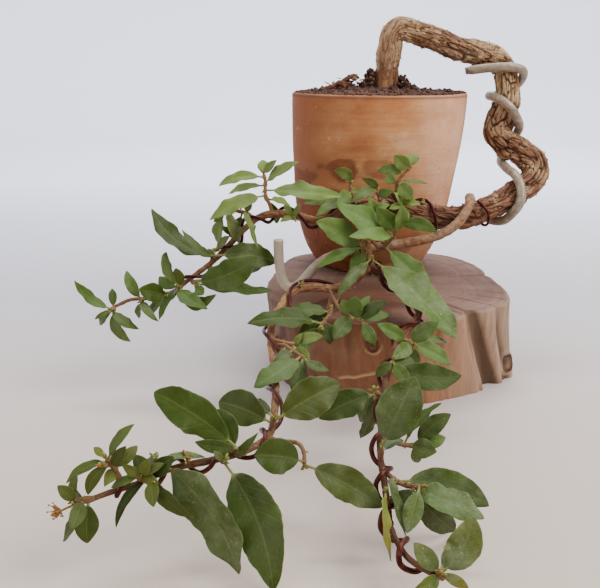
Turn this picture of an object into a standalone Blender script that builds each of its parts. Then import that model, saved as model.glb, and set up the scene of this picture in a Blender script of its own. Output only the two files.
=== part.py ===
# Barbados cherry bonsai: a cascading tree in a terracotta pot that stands on a slice of log.
# Lengths are worked in millimetres and made metres when a mesh is filled. +Z is up, the pot's
# axis is x = y = 0 and the table is z = 0. The trunk leaves the soil, loops out over the rim
# on the right (+X) and comes down to the front (-Y), where its branches fall to the table.

import math

import bmesh
import bpy
import numpy as np
from mathutils.bvhtree import BVHTree

MM = 0.001
GAP = 0.35  # clearance between pieces that touch

# Log slice that the pot stands on.
LOG_HEIGHT = 52.0
LOG_FOOT_FLARE = 1.03
LOG_FOOT_SHIFT = (5.0, 5.0)  # the foot stands a little to the right of the top, and behind it
LOG_EDGE = 2.0
LOG_TOP_INSET = 0.975
LOG_OUTLINE = [(33, -131), (56, -117), (72, -104), (78, -86), (79, -60), (77, -33), (71, -3), (58, 19),
               (38, 31), (12, 37), (-16, 37), (-44, 28), (-64, 6), (-75, -40), (-75, -82), (-62, -116),
               (-36, -134), (-2, -141)]
LOG_CENTRE = (0.0, -52.0)
LOG_SIDES = 46
# Grooves down its side: bearing at the top, how far each leans by the foot, depth, spread.
LOG_GROOVES = [(-0.97, 0.15, 6.5, 0.07), (-0.71, 0.06, 4.0, 0.05), (0.20, 0.05, 4.5, 0.06),
               (-2.30, 0.05, 3.5, 0.05), (1.10, -0.10, 5.0, 0.06)]

# Terracotta pot, thrown without a lip: radius against height, outside and then inside.
POT_FOOT = LOG_HEIGHT + GAP
POT_RIM = 174.0
POT_OUTSIDE = [(174.0, 59.8), (171.5, 60.6), (140.0, 59.2), (117.0, 56.9), (97.0, 54.6), (81.0, 51.0),
               (67.0, 46.4), (57.0, 40.8)]
POT_FLOOR = 58.8
POT_INSIDE = [(58.8, 31.0), (66.0, 40.6), (82.0, 46.2), (106.0, 50.6), (140.0, 53.8), (174.0, 54.8)]
POT_BASE_RADIUS = 36.0
DRAIN_RADIUS = 6.0
POT_STEPS = 28
POT_LEAN = -4.2  # how far the hand-made wall drifts to the left by its foot

# Soil, a little heaped, with a plain hole that the trunk stands in.
SOIL_FLOOR = 59.2
SOIL_FLOOR_RADIUS = 28.5
SOIL_CLEARANCE = 0.6  # from the pot's wall
SOIL_PEAK = 175.4
SOIL_EDGE_HEIGHT = 170.5
SOIL_SURFACE = [(175.0, 20.0), (174.4, 33.0), (173.5, 44.0), (170.5, 53.4)]
SOIL_LUMPS = 1.5  # height of the lumps
TRUNK_HOLE_RADIUS = 9.5
TRUNK_FOOT = 136.0
HOLE_CUTTER_DEPTH = 60.0

# Wood: routes through the middle of each limb, and its radius against the share of its length.
TRUNK_ROUTE = [(5, 0, 136), (5, 0, 155), (5, 0, 173), (5, 0, 182), (6, -1, 194), (7, -2, 203),
               (8, -2, 211), (14, -2, 216), (25, -2, 213), (37, -2, 209), (50, -2, 204), (65, -2, 200),
               (77, -3, 196), (85, -5, 190), (87, -8, 181), (88, -10, 172), (86, -12, 164),
               (82, -15, 156), (80, -18, 148), (85, -22, 141), (94, -26, 136), (102, -30, 130),
               (104, -34, 123), (99, -38, 116), (88, -44, 110), (76, -51, 105), (64, -58, 101),
               (50, -64, 98), (35, -69, 99), (18, -73, 103), (5, -75, 107), (-7, -76, 111)]
TRUNK_RADII = [(0.0, 8.3), (0.10, 8.4), (0.16, 7.7), (0.22, 7.6), (0.30, 7.8), (0.38, 7.8), (0.43, 7.1),
               (0.47, 7.4), (0.50, 8.8), (0.58, 8.9), (0.66, 8.6), (0.74, 7.8), (0.84, 7.6),
               (0.92, 6.8), (1.0, 5.0)]
LIMBS = {
    "upper": [(-7, -76, 111), (-18, -78, 109), (-30, -81, 103), (-44, -85, 100), (-57, -90, 104),
              (-70, -93, 106), (-80, -95, 104), (-88, -97, 98), (-96, -99, 90), (-106, -102, 80),
              (-114, -105, 74), (-123, -108, 68), (-129, -110, 63), (-137, -111, 60), (-148, -112, 58),
              (-156, -114, 58), (-164, -116, 55), (-170, -117, 52)],
    "fork": [(-7, -76, 111), (-10, -83, 105), (-13, -90, 97), (-15, -97, 87), (-13, -104, 76)],
    "lower": [(-13, -104, 76), (-19, -108, 72), (-27, -110, 67), (-35, -111, 64), (-44, -112, 65),
              (-55, -115, 65), (-62, -123, 63), (-66, -134, 60), (-70, -146, 57), (-71, -158, 52),
              (-70, -171, 47), (-68, -185, 42), (-67, -202, 39), (-67, -222, 37), (-68, -242, 37),
              (-72, -254, 38), (-80, -262, 38), (-90, -268, 38), (-100, -272, 38), (-111, -276, 37),
              (-120, -280, 34), (-130, -283, 32), (-136, -286, 31)],
    "front": [(-13, -104, 76), (-6, -109, 73), (0, -118, 70), (6, -127, 66), (10, -137, 63),
              (11, -147, 60), (6, -155, 56), (-1, -163, 52), (-5, -172, 47), (-9, -182, 42),
              (-12, -194, 38), (-14, -208, 34), (-17, -225, 29), (-19, -242, 26), (-19, -257, 23),
              (-19, -273, 20), (-19, -286, 18), (-16, -298, 16), (-12, -306, 16), (-7, -311, 16),
              (-3, -314, 16)],
}
LIMB_RADII = {
    "upper": [(0.0, 4.4), (0.12, 3.4), (0.30, 2.7), (0.50, 2.1), (0.70, 1.6), (0.85, 1.3), (1.0, 1.0)],
    "fork": [(0.0, 4.2), (1.0, 3.2)],
    "lower": [(0.0, 3.2), (0.15, 2.8), (0.35, 2.2), (0.60, 2.0), (0.80, 1.7), (1.0, 1.2)],
    "front": [(0.0, 3.1), (0.2, 2.5), (0.5, 2.0), (0.8, 1.6), (1.0, 1.2)],
}
TRUNK_SIDES = 12
TRUNK_RING_SPACING = 7.5
LIMB_SPACING = 9.5
TRUNK_RIDGE_START = 172.0  # height below which the trunk stays round, inside the soil
# Corky ridges: how many round the trunk, their twist for each mm, where they start, how proud.
TRUNK_RIDGES = [(4, 0.045, 0.0, 0.070), (3, -0.090, 1.0, 0.050), (5, 0.160, 2.0, 0.045)]
TRUNK_KNOTS = [(196.0, 3.4, 1.5), (60.0, 0.8, 1.2), (240.0, 1.0, 1.2)]  # along, turn, height

# Training wires, bent by hand: a heavy one beside the trunk and thin ones coiled on the limbs.
HEAVY_WIRE_RADIUS = 3.0
HEAVY_WIRE_ROUTE = [(57, -12, 188), (68, -17, 190), (81, -18, 192), (92, -14, 190), (99, -6, 185),
                    (99, 1, 178), (93, 5, 172), (85, 4, 170), (78, -2, 170), (75, -10, 170),
                    (78, -20, 171), (86, -24, 165), (91, -25, 156), (93, -22, 150), (92, -13, 142),
                    (87, -9, 136), (82, -18, 132), (81, -29, 127), (85, -38, 122), (90, -46, 119),
                    (92, -54, 115), (90, -60, 109), (85, -60, 102), (78, -55, 98), (72, -46, 98),
                    (63, -45, 103), (55, -54, 109), (54, -66, 108), (52, -75, 103), (47, -80, 97),
                    (41, -82, 92), (32, -82, 88), (19, -81, 86), (7, -80, 84), (-6, -84, 83),
                    (-20, -87, 82), (-34, -92, 82), (-44, -97, 79), (-50, -100, 74), (-52, -103, 67),
                    (-54, -107, 61), (-59, -109, 57), (-65, -107, 57), (-68, -104, 63), (-68, -102, 72),
                    (-68, -102, 92)]
# Each coil: how many turns it has made from the front of its limb at places along the way, in
# mm. The upper coil starts on the trunk, the front one on the fork above its limb.
COILS = {
    "tie_wire": {"radius": 1.0, "lead": "trunk", "skip": 0, "limb": None,
                 "turns": [(299, -0.42), (305, 0.25)]},
    "upper_wire": {"radius": 1.2, "lead": "trunk", "skip": 330, "limb": "upper",
                   "turns": [(2, -0.33), (10, 0), (34, 1), (62, 2), (101, 3), (125, 4), (150, 5),
                             (178, 6), (212, 7.35)]},
    "front_wire": {"radius": 1.4, "lead": "fork", "skip": 0, "limb": "front",
                   "turns": [(12, -0.1), (48, 0.75), (57, 1), (84, 2), (112, 3), (141, 4), (169, 5),
                             (197, 6), (224, 7), (245, 8), (266, 9), (285, 10.2)]},
    "lower_wire": {"radius": 1.2, "lead": "fork", "skip": 0, "limb": "lower",
                   "turns": [(56, 0.54), (82, 0.25), (105, 0), (151, -1), (198, -2), (241, -3),
                             (265, -4), (285, -5), (308, -6.3)]},
}
COIL_SPACING = 5.4
COIL_GAP = 0.45
HEAVY_WIRE_SPACING = 8.5
TWIG_SPACING = 5.0
TWIG_RADII = [(0.0, 1.2), (1.0, 0.9)]

# Leaf blades. Each is a small grid: stations from root to tip, and one or two cells across.
BLADE_THICKNESS = 0.8
BLADE_END_WIDTH = 0.8
PETIOLE_WIDTH = 1.1
PETIOLE_SHARE = 0.13
BLADE_WIDEST = 0.46  # where a plain leaf is widest, as a share of its blade
BLADE_SHIFT = 0.14  # how far a blunt leaf's widest place lies nearer the tip
BLADE_FULLNESS = 0.70  # power of the oval; less is blunter
BLADE_FOLD = 0.22  # how far the edges rise, against the half width
FACE_DIRECTION = (0.0, -0.75, 0.65)  # the leaves turn their faces to the light in front

# Leafy shoots: the limb each grows on, how far along it (mm), the bends of its twig from the
# middle of the limb, and its leaves. A leaf has the share of the twig where it leaves, where its
# tip reaches (right, back and up), its width, its roll about its length in degrees, how far its
# midrib arches against its length, whether it is broad near its tip (up to 1) or tapers (-1), and
# how far it bends sideways against its length.
SHOOTS = [
    ("upper_tall_shoot", "upper", 70,
     [(-1, 0, 5), (-4, 0, 11), (-4, 1, 19), (-5, 2, 24)], [
         (0.36, (6, 21, -20), 6, 35, 0.10, 0.0, 0.00),
         (0.42, (-33, -9, -13), 12, 10, 0.10, -0.2, 0.00),
         (0.56, (45, -16, -1), 12, -5, 0.05, -0.2, 0.01),
         (0.68, (-23, 8, -6), 6, 5, 0.10, 0.0, 0.01),
         (0.89, (-27, -5, -4), 8, 5, 0.10, 0.0, 0.06),
         (0.74, (20, -9, 14), 8, -5, 0.10, -0.2, -0.00),
         (0.30, (14, 11, -6), 7, -15, 0.10, 0.0, 0.00),
     ]),
    ("upper_side_shoot", "upper", 80,
     [(-7, 3, 3), (-15, 4, 4), (-21, 4, 2)], [
         (0.15, (7, -22, -16), 9, -55, 0.12, 0.0, 0.29),
         (0.70, (6, -15, -17), 9, -35, 0.12, 0.0, 0.19),
         (0.35, (-7, 9, -18), 9, -30, 0.10, 0.3, 0.00),
         (0.93, (-5, 7, -21), 9, 20, 0.15, 0.0, -0.02),
     ]),
    ("upper_pair_long", "upper", 114,
     [(0, -7, 3)], [
         (0.52, (-38, 7, 28), 13, 20, -0.04, 0.1, -0.14),
         (0.76, (-18, -7, 18), 7, 20, 0.10, 0.0, -0.24),
         (1.00, (36, 13, -7), 15, 15, 0.06, 0.3, -0.05),
     ]),
    ("upper_pair_broad", "upper", 134,
     [(3, -6, -2)], [
         (0.48, (40, -18, 20), 17, 30, 0.04, 0.3, 0.07),
         (0.22, (41, 14, 5), 9, -15, 0.12, 0.0, 0.14),
         (0.74, (48, -2, -4), 9, -15, -0.05, -0.2, -0.01),
         (1.00, (7, -14, -2), 6, 15, -0.10, 0.0, 0.00),
     ]),
    ("upper_cluster", "upper", 142,
     [(1, -7, 2)], [
         (0.49, (23, -14, 0), 9, 5, -0.12, 0.0, 0.26),
         (0.66, (18, -17, -8), 11, -20, 0.08, 0.0, 0.16),
         (0.83, (-8, 6, 20), 8, 40, 0.10, 0.5, -0.30),
         (1.00, (-14, 9, 4), 7, -20, 0.08, 0.3, -0.10),
         (0.15, (-10, -19, -14), 9, 40, 0.10, -0.2, -0.04),
     ]),
    ("upper_pair_near_tip", "upper", 150,
     [(0, -7, 2)], [
         (0.77, (-14, -10, 6), 11, -30, 0.08, 0.3, -0.03),
         (1.00, (-14, 6, -13), 8, 10, 0.10, 0.0, -0.17),
     ]),
    ("upper_hanging_pair", "upper", 166,
     [(1, -7, 1)], [
         (0.75, (11, -9, -10), 6, -30, 0.15, 0.0, 0.23),
         (1.00, (-4, 6, -13), 5, 5, 0.10, 0.3, 0.00),
         (0.26, (-9, 4, 17), 7, 10, 0.10, 0.0, -0.11),
     ]),
    ("upper_tip", "upper", 184,
     [(1, -6, 0)], [
         (0.67, (-19, -7, 20), 8, 25, -0.12, 0.0, -0.04),
         (0.50, (11, -9, -17), 7, 25, 0.12, 0.0, 0.11),
         (0.33, (16, -7, -10), 8, -30, 0.10, 0.2, 0.23),
         (1.00, (-11, 8, -12), 6, -5, 0.10, 0.0, 0.00),
     ]),
    ("crown_left_shoot", "upper", 15,
     [(-1, -4, 6), (-3, -5, 11), (-3, -5, 15)], [
         (0.60, (-9, -13, -5), 9, -25, 0.10, 0.0, 0.00),
         (0.30, (-23, -14, -9), 9, 15, 0.10, -0.2, -0.00),
         (0.50, (4, 14, 0), 6, 35, 0.10, 0.0, 0.00),
         (0.15, (-31, 8, -4), 10, 10, 0.08, -0.2, 0.01),
     ]),
    ("crown_middle_shoot", "trunk", 371,
     [(-3, -9, 5), (-4, -10, 9)], [
         (0.85, (-17, -13, -4), 7, 0, 0.20, -0.2, 0.05),
     ]),
    ("crown_right_shoot", "trunk", 362,
     [(0, -3, 10), (1, -4, 17), (4, -4, 21), (8, -4, 25)], [
         (0.70, (-16, -5, 3), 7, -35, 0.15, 0.2, 0.14),
         (0.94, (-10, -6, 9), 9, -45, 0.15, 0.3, 0.00),
         (0.46, (8, -11, -9), 9, 25, 0.10, 0.2, 0.00),
         (0.52, (19, 6, -3), 3, -5, 0.05, 0.0, 0.00),
     ]),
    ("crown_front_spray", "fork", 27,
     [(8, -6, -6), (13, -10, -1), (18, -11, 8)], [
         (0.89, (-13, -5, 15), 10, -30, 0.10, 0.0, 0.00),
         (0.73, (-28, -22, 5), 10, 5, 0.12, -0.2, -0.06),
         (1.00, (21, -9, -1), 8, 30, 0.15, 0.0, -0.15),
         (0.78, (-35, -4, 20), 16, 5, 0.08, 0.0, -0.08),
         (0.84, (1, -14, 20), 9, 35, 0.10, 0.0, 0.00),
         (0.35, (30, -10, -27), 14, 0, 0.10, 0.0, 0.03),
     ]),
    ("crown_low_spray", "fork", 37,
     [(-3, -7, 4)], [
         (0.46, (-29, -16, 20), 15, -15, 0.06, 0.2, 0.03),
         (0.19, (-8, -9, -13), 9, -10, 0.10, 0.3, 0.00),
         (0.73, (-15, 0, -8), 6, 15, 0.15, 0.0, 0.11),
         (1.00, (-28, -10, -10), 8, 15, 0.10, -0.2, -0.01),
     ]),
    ("fork_spray", "fork", 45,
     [(1, -7, 5)], [
         (0.74, (42, -53, -30), 23, -15, 0.05, 0.0, -0.01),
         (1.00, (-21, -14, -19), 9, 25, 0.10, -0.2, -0.03),
     ]),
    ("lower_twig_left", "lower", 19,
     [(-3, -8, -4), (-8, -18, -8), (-10, -26, -10), (-13, -34, -11), (-15, -40, -12)], [
         (0.85, (3, -9, -11), 8, 5, 0.10, -0.2, 0.00),
         (0.55, (-16, -2, -6), 9, -20, 0.08, 0.0, 0.03),
         (0.60, (-25, -9, 3), 10, 15, 0.10, 0.0, 0.00),
         (0.97, (-41, -10, 4), 14, 20, 0.10, -0.2, 0.01),
         (0.90, (-14, -2, -7), 7, -20, 0.10, 0.0, 0.07),
         (1.00, (-15, -10, -11), 9, -15, -0.10, 0.6, -0.00),
     ]),
    ("lower_twig_right", "lower", 29,
     [(2, -13, -2), (6, -25, -6), (11, -30, -8), (17, -35, -9)], [
         (0.90, (-1, -4, 15), 10, -30, 0.08, 0.6, 0.00),
         (0.93, (15, -8, 14), 8, 10, 0.08, -0.2, -0.03),
         (0.97, (17, 3, 3), 7, -10, 0.10, 0.0, 0.00),
         (0.87, (9, 9, 11), 6, -15, 0.10, 0.0, 0.00),
         (1.00, (7, -10, -10), 7, 15, 0.10, 0.0, 0.00),
         (0.83, (-11, -13, -8), 10, -10, 0.10, -0.2, 0.06),
     ]),
    ("lower_olive_spray", "lower", 106,
     [(6, -2, 2), (13, -11, 1), (18, -15, -1)], [
         (0.60, (-10, -11, -4), 6, -15, 0.10, 0.0, 0.06),
         (0.88, (-23, -25, -6), 14, 20, 0.06, 0.2, -0.06),
         (0.94, (-5, -12, -15), 8, -5, 0.08, 0.2, 0.00),
         (1.00, (12, -8, -3), 6, -15, 0.10, 0.3, 0.15),
     ]),
    ("lower_broad_pair", "lower", 210,
     [(3, -4, 5)], [
         (0.75, (-35, 8, 22), 16, -10, 0.06, 0.7, 0.04),
         (0.25, (-9, 11, 14), 11, 0, 0.08, 0.3, 0.00),
         (1.00, (-18, -2, 4), 6, -30, 0.10, 0.0, 0.00),
         (0.50, (9, -9, 13), 5, -15, 0.15, 0.0, 0.20),
     ]),
    ("lower_elbow_pair", "lower", 184,
     [(2, 0, 7)], [
         (0.48, (-25, 12, 5), 16, -10, 0.06, 0.5, 0.04),
         (0.74, (30, 16, 11), 18, 15, 0.06, 0.2, -0.03),
         (1.00, (-14, 21, -2), 7, 25, 0.10, 0.0, 0.00),
     ]),
    ("lower_side_shoot", "lower", 189,
     [(7, -4, 0), (13, -8, 2), (16, -13, 0), (16, -16, -4)], [
         (0.95, (-20, -9, 8), 15, -15, 0.05, 0.6, 0.04),
         (1.00, (32, -10, -14), 14, 10, 0.06, 0.1, -0.04),
     ]),
    ("lower_hanging_left", "lower", 241,
     [(-1, -2, 7)], [
         (1.00, (33, -17, -41), 20, 40, 0.04, -0.3, -0.15),
         (0.77, (18, 7, -2), 4, -25, 0.10, 0.0, 0.00),
     ]),
    ("lower_hanging_right", "lower", 217,
     [(3, -6, 2)], [
         (0.75, (21, -31, -38), 20, 15, 0.04, -0.3, -0.09),
     ]),
    ("lower_near_tip", "lower", 245,
     [(2, -6, 2)], [
         (0.66, (16, -11, -10), 7, 35, 0.15, -0.2, -0.02),
         (0.16, (-13, -10, -16), 4, 5, 0.08, -0.2, 0.12),
         (0.50, (6, -3, 13), 5, -20, 0.10, 0.0, 0.00),
     ]),
    ("lower_upright_shoot", "lower", 258,
     [(0, -1, 7), (-2, -3, 14), (-3, -4, 16)], [
         (0.91, (10, 3, 14), 5, -20, 0.12, 0.2, -0.01),
         (0.83, (-16, -5, -6), 5, 25, 0.10, -0.1, 0.08),
         (0.66, (7, -6, 12), 5, 15, 0.10, 0.0, 0.00),
     ]),
    ("lower_tip", "lower", 268,
     [(-4, -2, 0), (-7, -4, 1)], [
         (0.12, (0, -7, -15), 9, -15, 0.06, 0.2, 0.04),
         (0.65, (-6, -6, -14), 6, 35, 0.10, -0.2, -0.21),
         (0.47, (-1, -14, -4), 6, -25, 0.10, 0.0, 0.00),
     ]),
    ("front_whorl", "front", 74,
     [(3, -4, -2), (5, -8, -2)], [
         (0.30, (-17, -3, 11), 8, -5, 0.10, 0.0, -0.01),
         (0.48, (14, -6, 14), 9, 15, 0.08, 0.0, 0.00),
         (0.65, (21, -8, -9), 10, -10, 0.10, -0.2, 0.01),
         (0.83, (-12, -16, -2), 8, -15, 0.10, 0.0, 0.00),
         (0.13, (24, 8, -4), 6, -20, 0.10, -0.2, 0.03),
         (1.00, (3, 4, -14), 6, 20, 0.10, 0.0, 0.00),
     ]),
    ("front_pair_upper", "front", 100,
     [(2, -3, 7)], [
         (0.27, (13, 8, 0), 9, -5, 0.08, 0.0, 0.00),
         (0.52, (34, -10, -2), 14, 20, 0.04, 0.0, 0.10),
         (0.76, (8, -10, -8), 7, 15, 0.10, 0.0, 0.00),
     ]),
    ("front_pair_left", "front", 122,
     [(-5, -1, 5)], [
         (0.47, (-29, -7, -10), 14, -15, 0.06, 0.2, 0.06),
         (0.74, (-7, 10, -21), 9, 25, 0.10, 0.0, 0.00),
         (1.00, (-6, 4, -28), 10, -40, 0.10, 0.0, 0.00),
     ]),
    ("front_side_shoot", "front", 145,
     [(7, -4, -4), (13, -4, -5), (17, -4, -5)], [
         (0.92, (16, 2, 15), 9, 5, 0.08, 0.0, -0.06),
         (1.00, (12, -6, 7), 7, 30, 0.10, 0.0, 0.00),
         (0.60, (17, 5, 19), 8, -55, 0.10, 0.0, 0.00),
     ]),
    ("front_broad_leaf", "front", 166,
     [(0, -1, 7)], [
         (1.00, (14, 4, 32), 19, 0, 0.06, 0.2, -0.01),
         (0.50, (11, 14, -1), 7, -30, 0.10, 0.0, 0.00),
     ]),
    ("front_drooping_spray", "front", 171,
     [(4, -9, 0), (8, -15, 1), (13, -21, 4)], [
         (0.30, (36, -12, -4), 14, 10, 0.08, 0.1, -0.09),
         (0.60, (29, -16, -5), 13, -20, 0.08, 0.3, 0.04),
         (1.00, (-7, -17, -10), 8, 5, 0.05, 0.3, 0.00),
         (0.90, (-9, 6, -14), 8, -5, 0.10, 0.2, 0.00),
         (0.70, (21, 3, -24), 12, 15, 0.06, 0.3, 0.04),
         (0.15, (2, -27, -9), 8, -50, 0.10, 0.0, 0.26),
     ]),
    ("front_hanging_pair", "front", 194,
     [(-1, -1, 7)], [
         (1.00, (0, -22, -16), 7, -55, 0.10, 0.0, 0.28),
     ]),
    ("front_tip", "front", 239,
     [(-2, -3, 5)], [
         (0.58, (12, 7, 19), 12, -5, 0.06, 0.2, 0.10),
         (1.00, (8, 17, -2), 7, 10, 0.10, 0.0, 0.00),
     ]),
]


def unit(vector):
    vector = np.asarray(vector, float)
    return vector / np.linalg.norm(vector)


def distances_along(points):
    steps = np.linalg.norm(np.diff(points, axis=0), axis=1)
    return np.concatenate([[0.0], np.cumsum(steps)])


def smooth_route(points, spacing, closed=False):
    """Catmull-Rom curve through the points, resampled at even distances along it."""
    through = np.asarray(points, float)
    if closed:
        through = np.vstack([through[-1], through, through[:2]])
    else:
        through = np.vstack([2 * through[0] - through[1], through, 2 * through[-1] - through[-2]])
    t = np.linspace(0, 1, 12, endpoint=False)[:, None]
    runs = []
    for a, b, c, d in zip(through, through[1:], through[2:], through[3:]):
        runs.append(0.5 * (2 * b + (c - a) * t + (2 * a - 5 * b + 4 * c - d) * t ** 2
                           + (3 * b - 3 * c + d - a) * t ** 3))
    fine = np.vstack(runs + [through[-2:-1]])
    along = distances_along(fine)
    even = np.linspace(0, along[-1], max(2, round(along[-1] / spacing) + 1))
    return np.column_stack([np.interp(even, along, fine[:, axis]) for axis in range(3)])


def radii_along(table, centres):
    along = distances_along(centres)
    shares, radii = zip(*table)
    return np.interp(along / along[-1], shares, radii)


def ring_frames(centres):
    """Two directions across the route at each point, carried along it without twisting."""
    tangents = np.gradient(centres, axis=0)
    tangents /= np.linalg.norm(tangents, axis=1)[:, None]
    across = [unit(np.cross(tangents[0], (0.0, 1.0, 0.0)))]
    for tangent in tangents[1:]:
        across.append(unit(across[-1] - tangent * np.dot(across[-1], tangent)))
    across = np.array(across)
    return across, np.cross(tangents, across)


def material(name, colour, roughness, metallic=0.0):
    finish = bpy.data.materials.new(name)
    finish.use_nodes = True
    shader = finish.node_tree.nodes["Principled BSDF"]
    shader.inputs["Base Color"].default_value = (*colour, 1.0)
    shader.inputs["Roughness"].default_value = roughness
    shader.inputs["Metallic"].default_value = metallic
    return finish


def keep(obj, collection, finish):
    collection.objects.link(obj)
    if finish is not None:
        obj.data.materials.clear()
        obj.data.materials.append(finish)
    return obj


def object_from_bmesh(name, shape, collection, finish=None):
    """Make a mesh object from a bmesh worked in millimetres."""
    bmesh.ops.scale(shape, vec=(MM, MM, MM), verts=shape.verts)
    mesh = bpy.data.meshes.new(name)
    shape.to_mesh(mesh)
    shape.free()
    return keep(bpy.data.objects.new(name, mesh), collection, finish)


def flatten(obj, collection, finish=None, weld=True):
    """Replace a curve or a modified object by the closed mesh that it shows."""
    graph = bpy.context.evaluated_depsgraph_get()
    mesh = bpy.data.meshes.new_from_object(obj.evaluated_get(graph))
    shape = bmesh.new()
    shape.from_mesh(mesh)
    if weld:
        bmesh.ops.remove_doubles(shape, verts=shape.verts, dist=0.002 * MM)
        bmesh.ops.recalc_face_normals(shape, faces=shape.faces)
    bmesh.ops.triangulate(shape, faces=shape.faces)
    shape.to_mesh(mesh)
    shape.free()
    name = obj.name
    matrix = obj.matrix_world.copy()
    bpy.data.objects.remove(obj)
    solid = bpy.data.objects.new(name, mesh)
    solid.matrix_world = matrix
    return keep(solid, collection, finish)


def tube(name, centres, radii, detail, collection, finish=None):
    """Round bar along a route: a POLY curve with a bevel and filled ends, made a mesh."""
    curve = bpy.data.curves.new(name, "CURVE")
    curve.dimensions = "3D"
    curve.bevel_depth = MM
    curve.bevel_resolution = detail
    curve.render_resolution_u = 0
    curve.use_fill_caps = True
    spline = curve.splines.new("POLY")
    spline.points.add(len(centres) - 1)
    for point, centre, radius in zip(spline.points, centres, np.broadcast_to(radii, len(centres))):
        point.co = (*(centre * MM), 1.0)
        point.radius = radius
    bar = keep(bpy.data.objects.new(name, curve), collection, None)
    return flatten(bar, collection, finish)


def join_all(base, pieces, solver):
    """Union of a base solid with every solid in a collection, which is then emptied."""
    union = base.modifiers.new("union", "BOOLEAN")
    union.operand_type = "COLLECTION"
    union.collection = pieces
    union.operation = "UNION"
    union.solver = solver
    home = base.users_collection[0]
    finish = base.data.materials[0]
    solid = flatten(base, home, finish, weld=False)
    for piece in list(pieces.objects):
        bpy.data.objects.remove(piece)
    return solid


def search_tree(objects):
    """Nearest-point tree over the surfaces of several objects, in millimetres."""
    points, faces = [], []
    for obj in objects:
        first = len(points)
        points += [tuple(obj.matrix_world @ vertex.co / MM) for vertex in obj.data.vertices]
        faces += [[first + index for index in face.vertices] for face in obj.data.polygons]
    return BVHTree.FromPolygons(points, faces)


def escape(point, reach, tree):
    """Shift that takes a point out to reach from the nearest surface, or none if it is clear."""
    place, normal, _face, distance = tree.find_nearest(point)
    place, normal = np.array(place), np.array(normal)
    offset = point - place
    outside = np.dot(offset, normal) >= 0
    if outside and distance >= reach:
        return np.zeros(3)
    if outside and distance > 0.05:
        return place + offset / distance * reach - point
    return place + normal * reach - point


def push_clear(route, reach, tree, easing=0.0, passes=14):
    """Move a wire's middle line out of the solids in the tree until all of it is reach from them."""
    points = route.copy()
    for turn in range(passes):
        for index in range(len(points) - 1):
            shift = escape(0.5 * (points[index] + points[index + 1]), reach, tree)
            points[index] += shift
            points[index + 1] += shift
        for index, point in enumerate(points):
            points[index] = point + escape(point, reach, tree)
        if turn < passes - 4:
            points[1:-1] += easing * (0.5 * (points[:-2] + points[2:]) - points[1:-1])
    return points


def blade_outline(share, width, form):
    """Half width of a leaf at a share of its length: a stalk, then an oval, blunt or drawn out."""
    along = np.clip((share - PETIOLE_SHARE) / (1 - PETIOLE_SHARE), 0.0, 1.0)
    skew = math.log(0.5) / math.log(BLADE_WIDEST + BLADE_SHIFT * form)
    oval = 0.5 * width * np.sin(np.pi * along ** skew) ** (BLADE_FULLNESS - 0.18 * form)
    floor = np.where(share <= PETIOLE_SHARE, PETIOLE_WIDTH, BLADE_END_WIDTH) / 2
    return np.maximum(oval, floor)


def blade_frame(reach, roll):
    """Directions along a leaf, across it and out of its upper face, rolled about its length."""
    along = unit(reach)
    face = np.array(FACE_DIRECTION) - along * np.dot(FACE_DIRECTION, along)
    face = unit(face)
    across = np.cross(along, face)
    turn = math.radians(roll)
    face = face * math.cos(turn) + across * math.sin(turn)
    return along, np.cross(along, face), face


def blade_points(root, reach, width, roll, rise, form, sway, rows, columns):
    """Grid of points of a leaf: an arched midrib with raised edges that wave a little."""
    reach = np.asarray(reach, float)
    length = np.linalg.norm(reach)
    along, across, face = blade_frame(reach, roll)
    share = PETIOLE_SHARE + (1 - PETIOLE_SHARE) * np.linspace(0, 1, rows) ** 0.95
    share = np.concatenate([[0.0], share])
    crest = root + 0.5 * reach + (face * rise + across * sway) * (2 * length)
    t = share[:, None]
    middle = (1 - t) ** 2 * root + 2 * t * (1 - t) * crest + t ** 2 * (root + reach)
    heading = (1 - t) * (crest - root) + t * (root + reach - crest)
    beside = np.cross(heading, face)
    beside = beside / np.linalg.norm(beside, axis=1)[:, None]
    half = blade_outline(share, width, form)
    sides = np.linspace(-1, 1, columns + 1)
    wave = 0.018 * length * np.sin(share * 11.0 + roll)
    points = []
    for centre, sideways, spread, ripple in zip(middle, beside, half, wave * np.minimum(1.0, half / 3)):
        for side in sides:
            lift = BLADE_FOLD * abs(side) * spread + ripple * side * abs(side)
            points.append(centre + sideways * side * spread + face * lift)
    return np.array(points)


def leaf(root, reach, width, roll, rise, form, sway, collection):
    """One leaf as a thin closed blade: a grid bent by blade_points, then given its thickness."""
    length = float(np.linalg.norm(reach))
    rows = 5 if length > 28 else 4
    columns = 2 if length > 24 else 1
    root = np.asarray(root, float)
    points = blade_points(root, reach, width, roll, rise, form, sway, rows, columns)
    shape = bmesh.new()
    bmesh.ops.create_grid(shape, x_segments=columns, y_segments=rows, size=1.0)
    shape.verts.ensure_lookup_table()
    for vertex, point in zip(shape.verts, points):
        vertex.co = point
    bmesh.ops.triangulate(shape, faces=shape.faces)
    blade = object_from_bmesh("leaf", shape, collection)
    wall = blade.modifiers.new("thickness", "SOLIDIFY")
    wall.thickness = BLADE_THICKNESS * MM
    wall.offset = 0.0
    return blade


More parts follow.
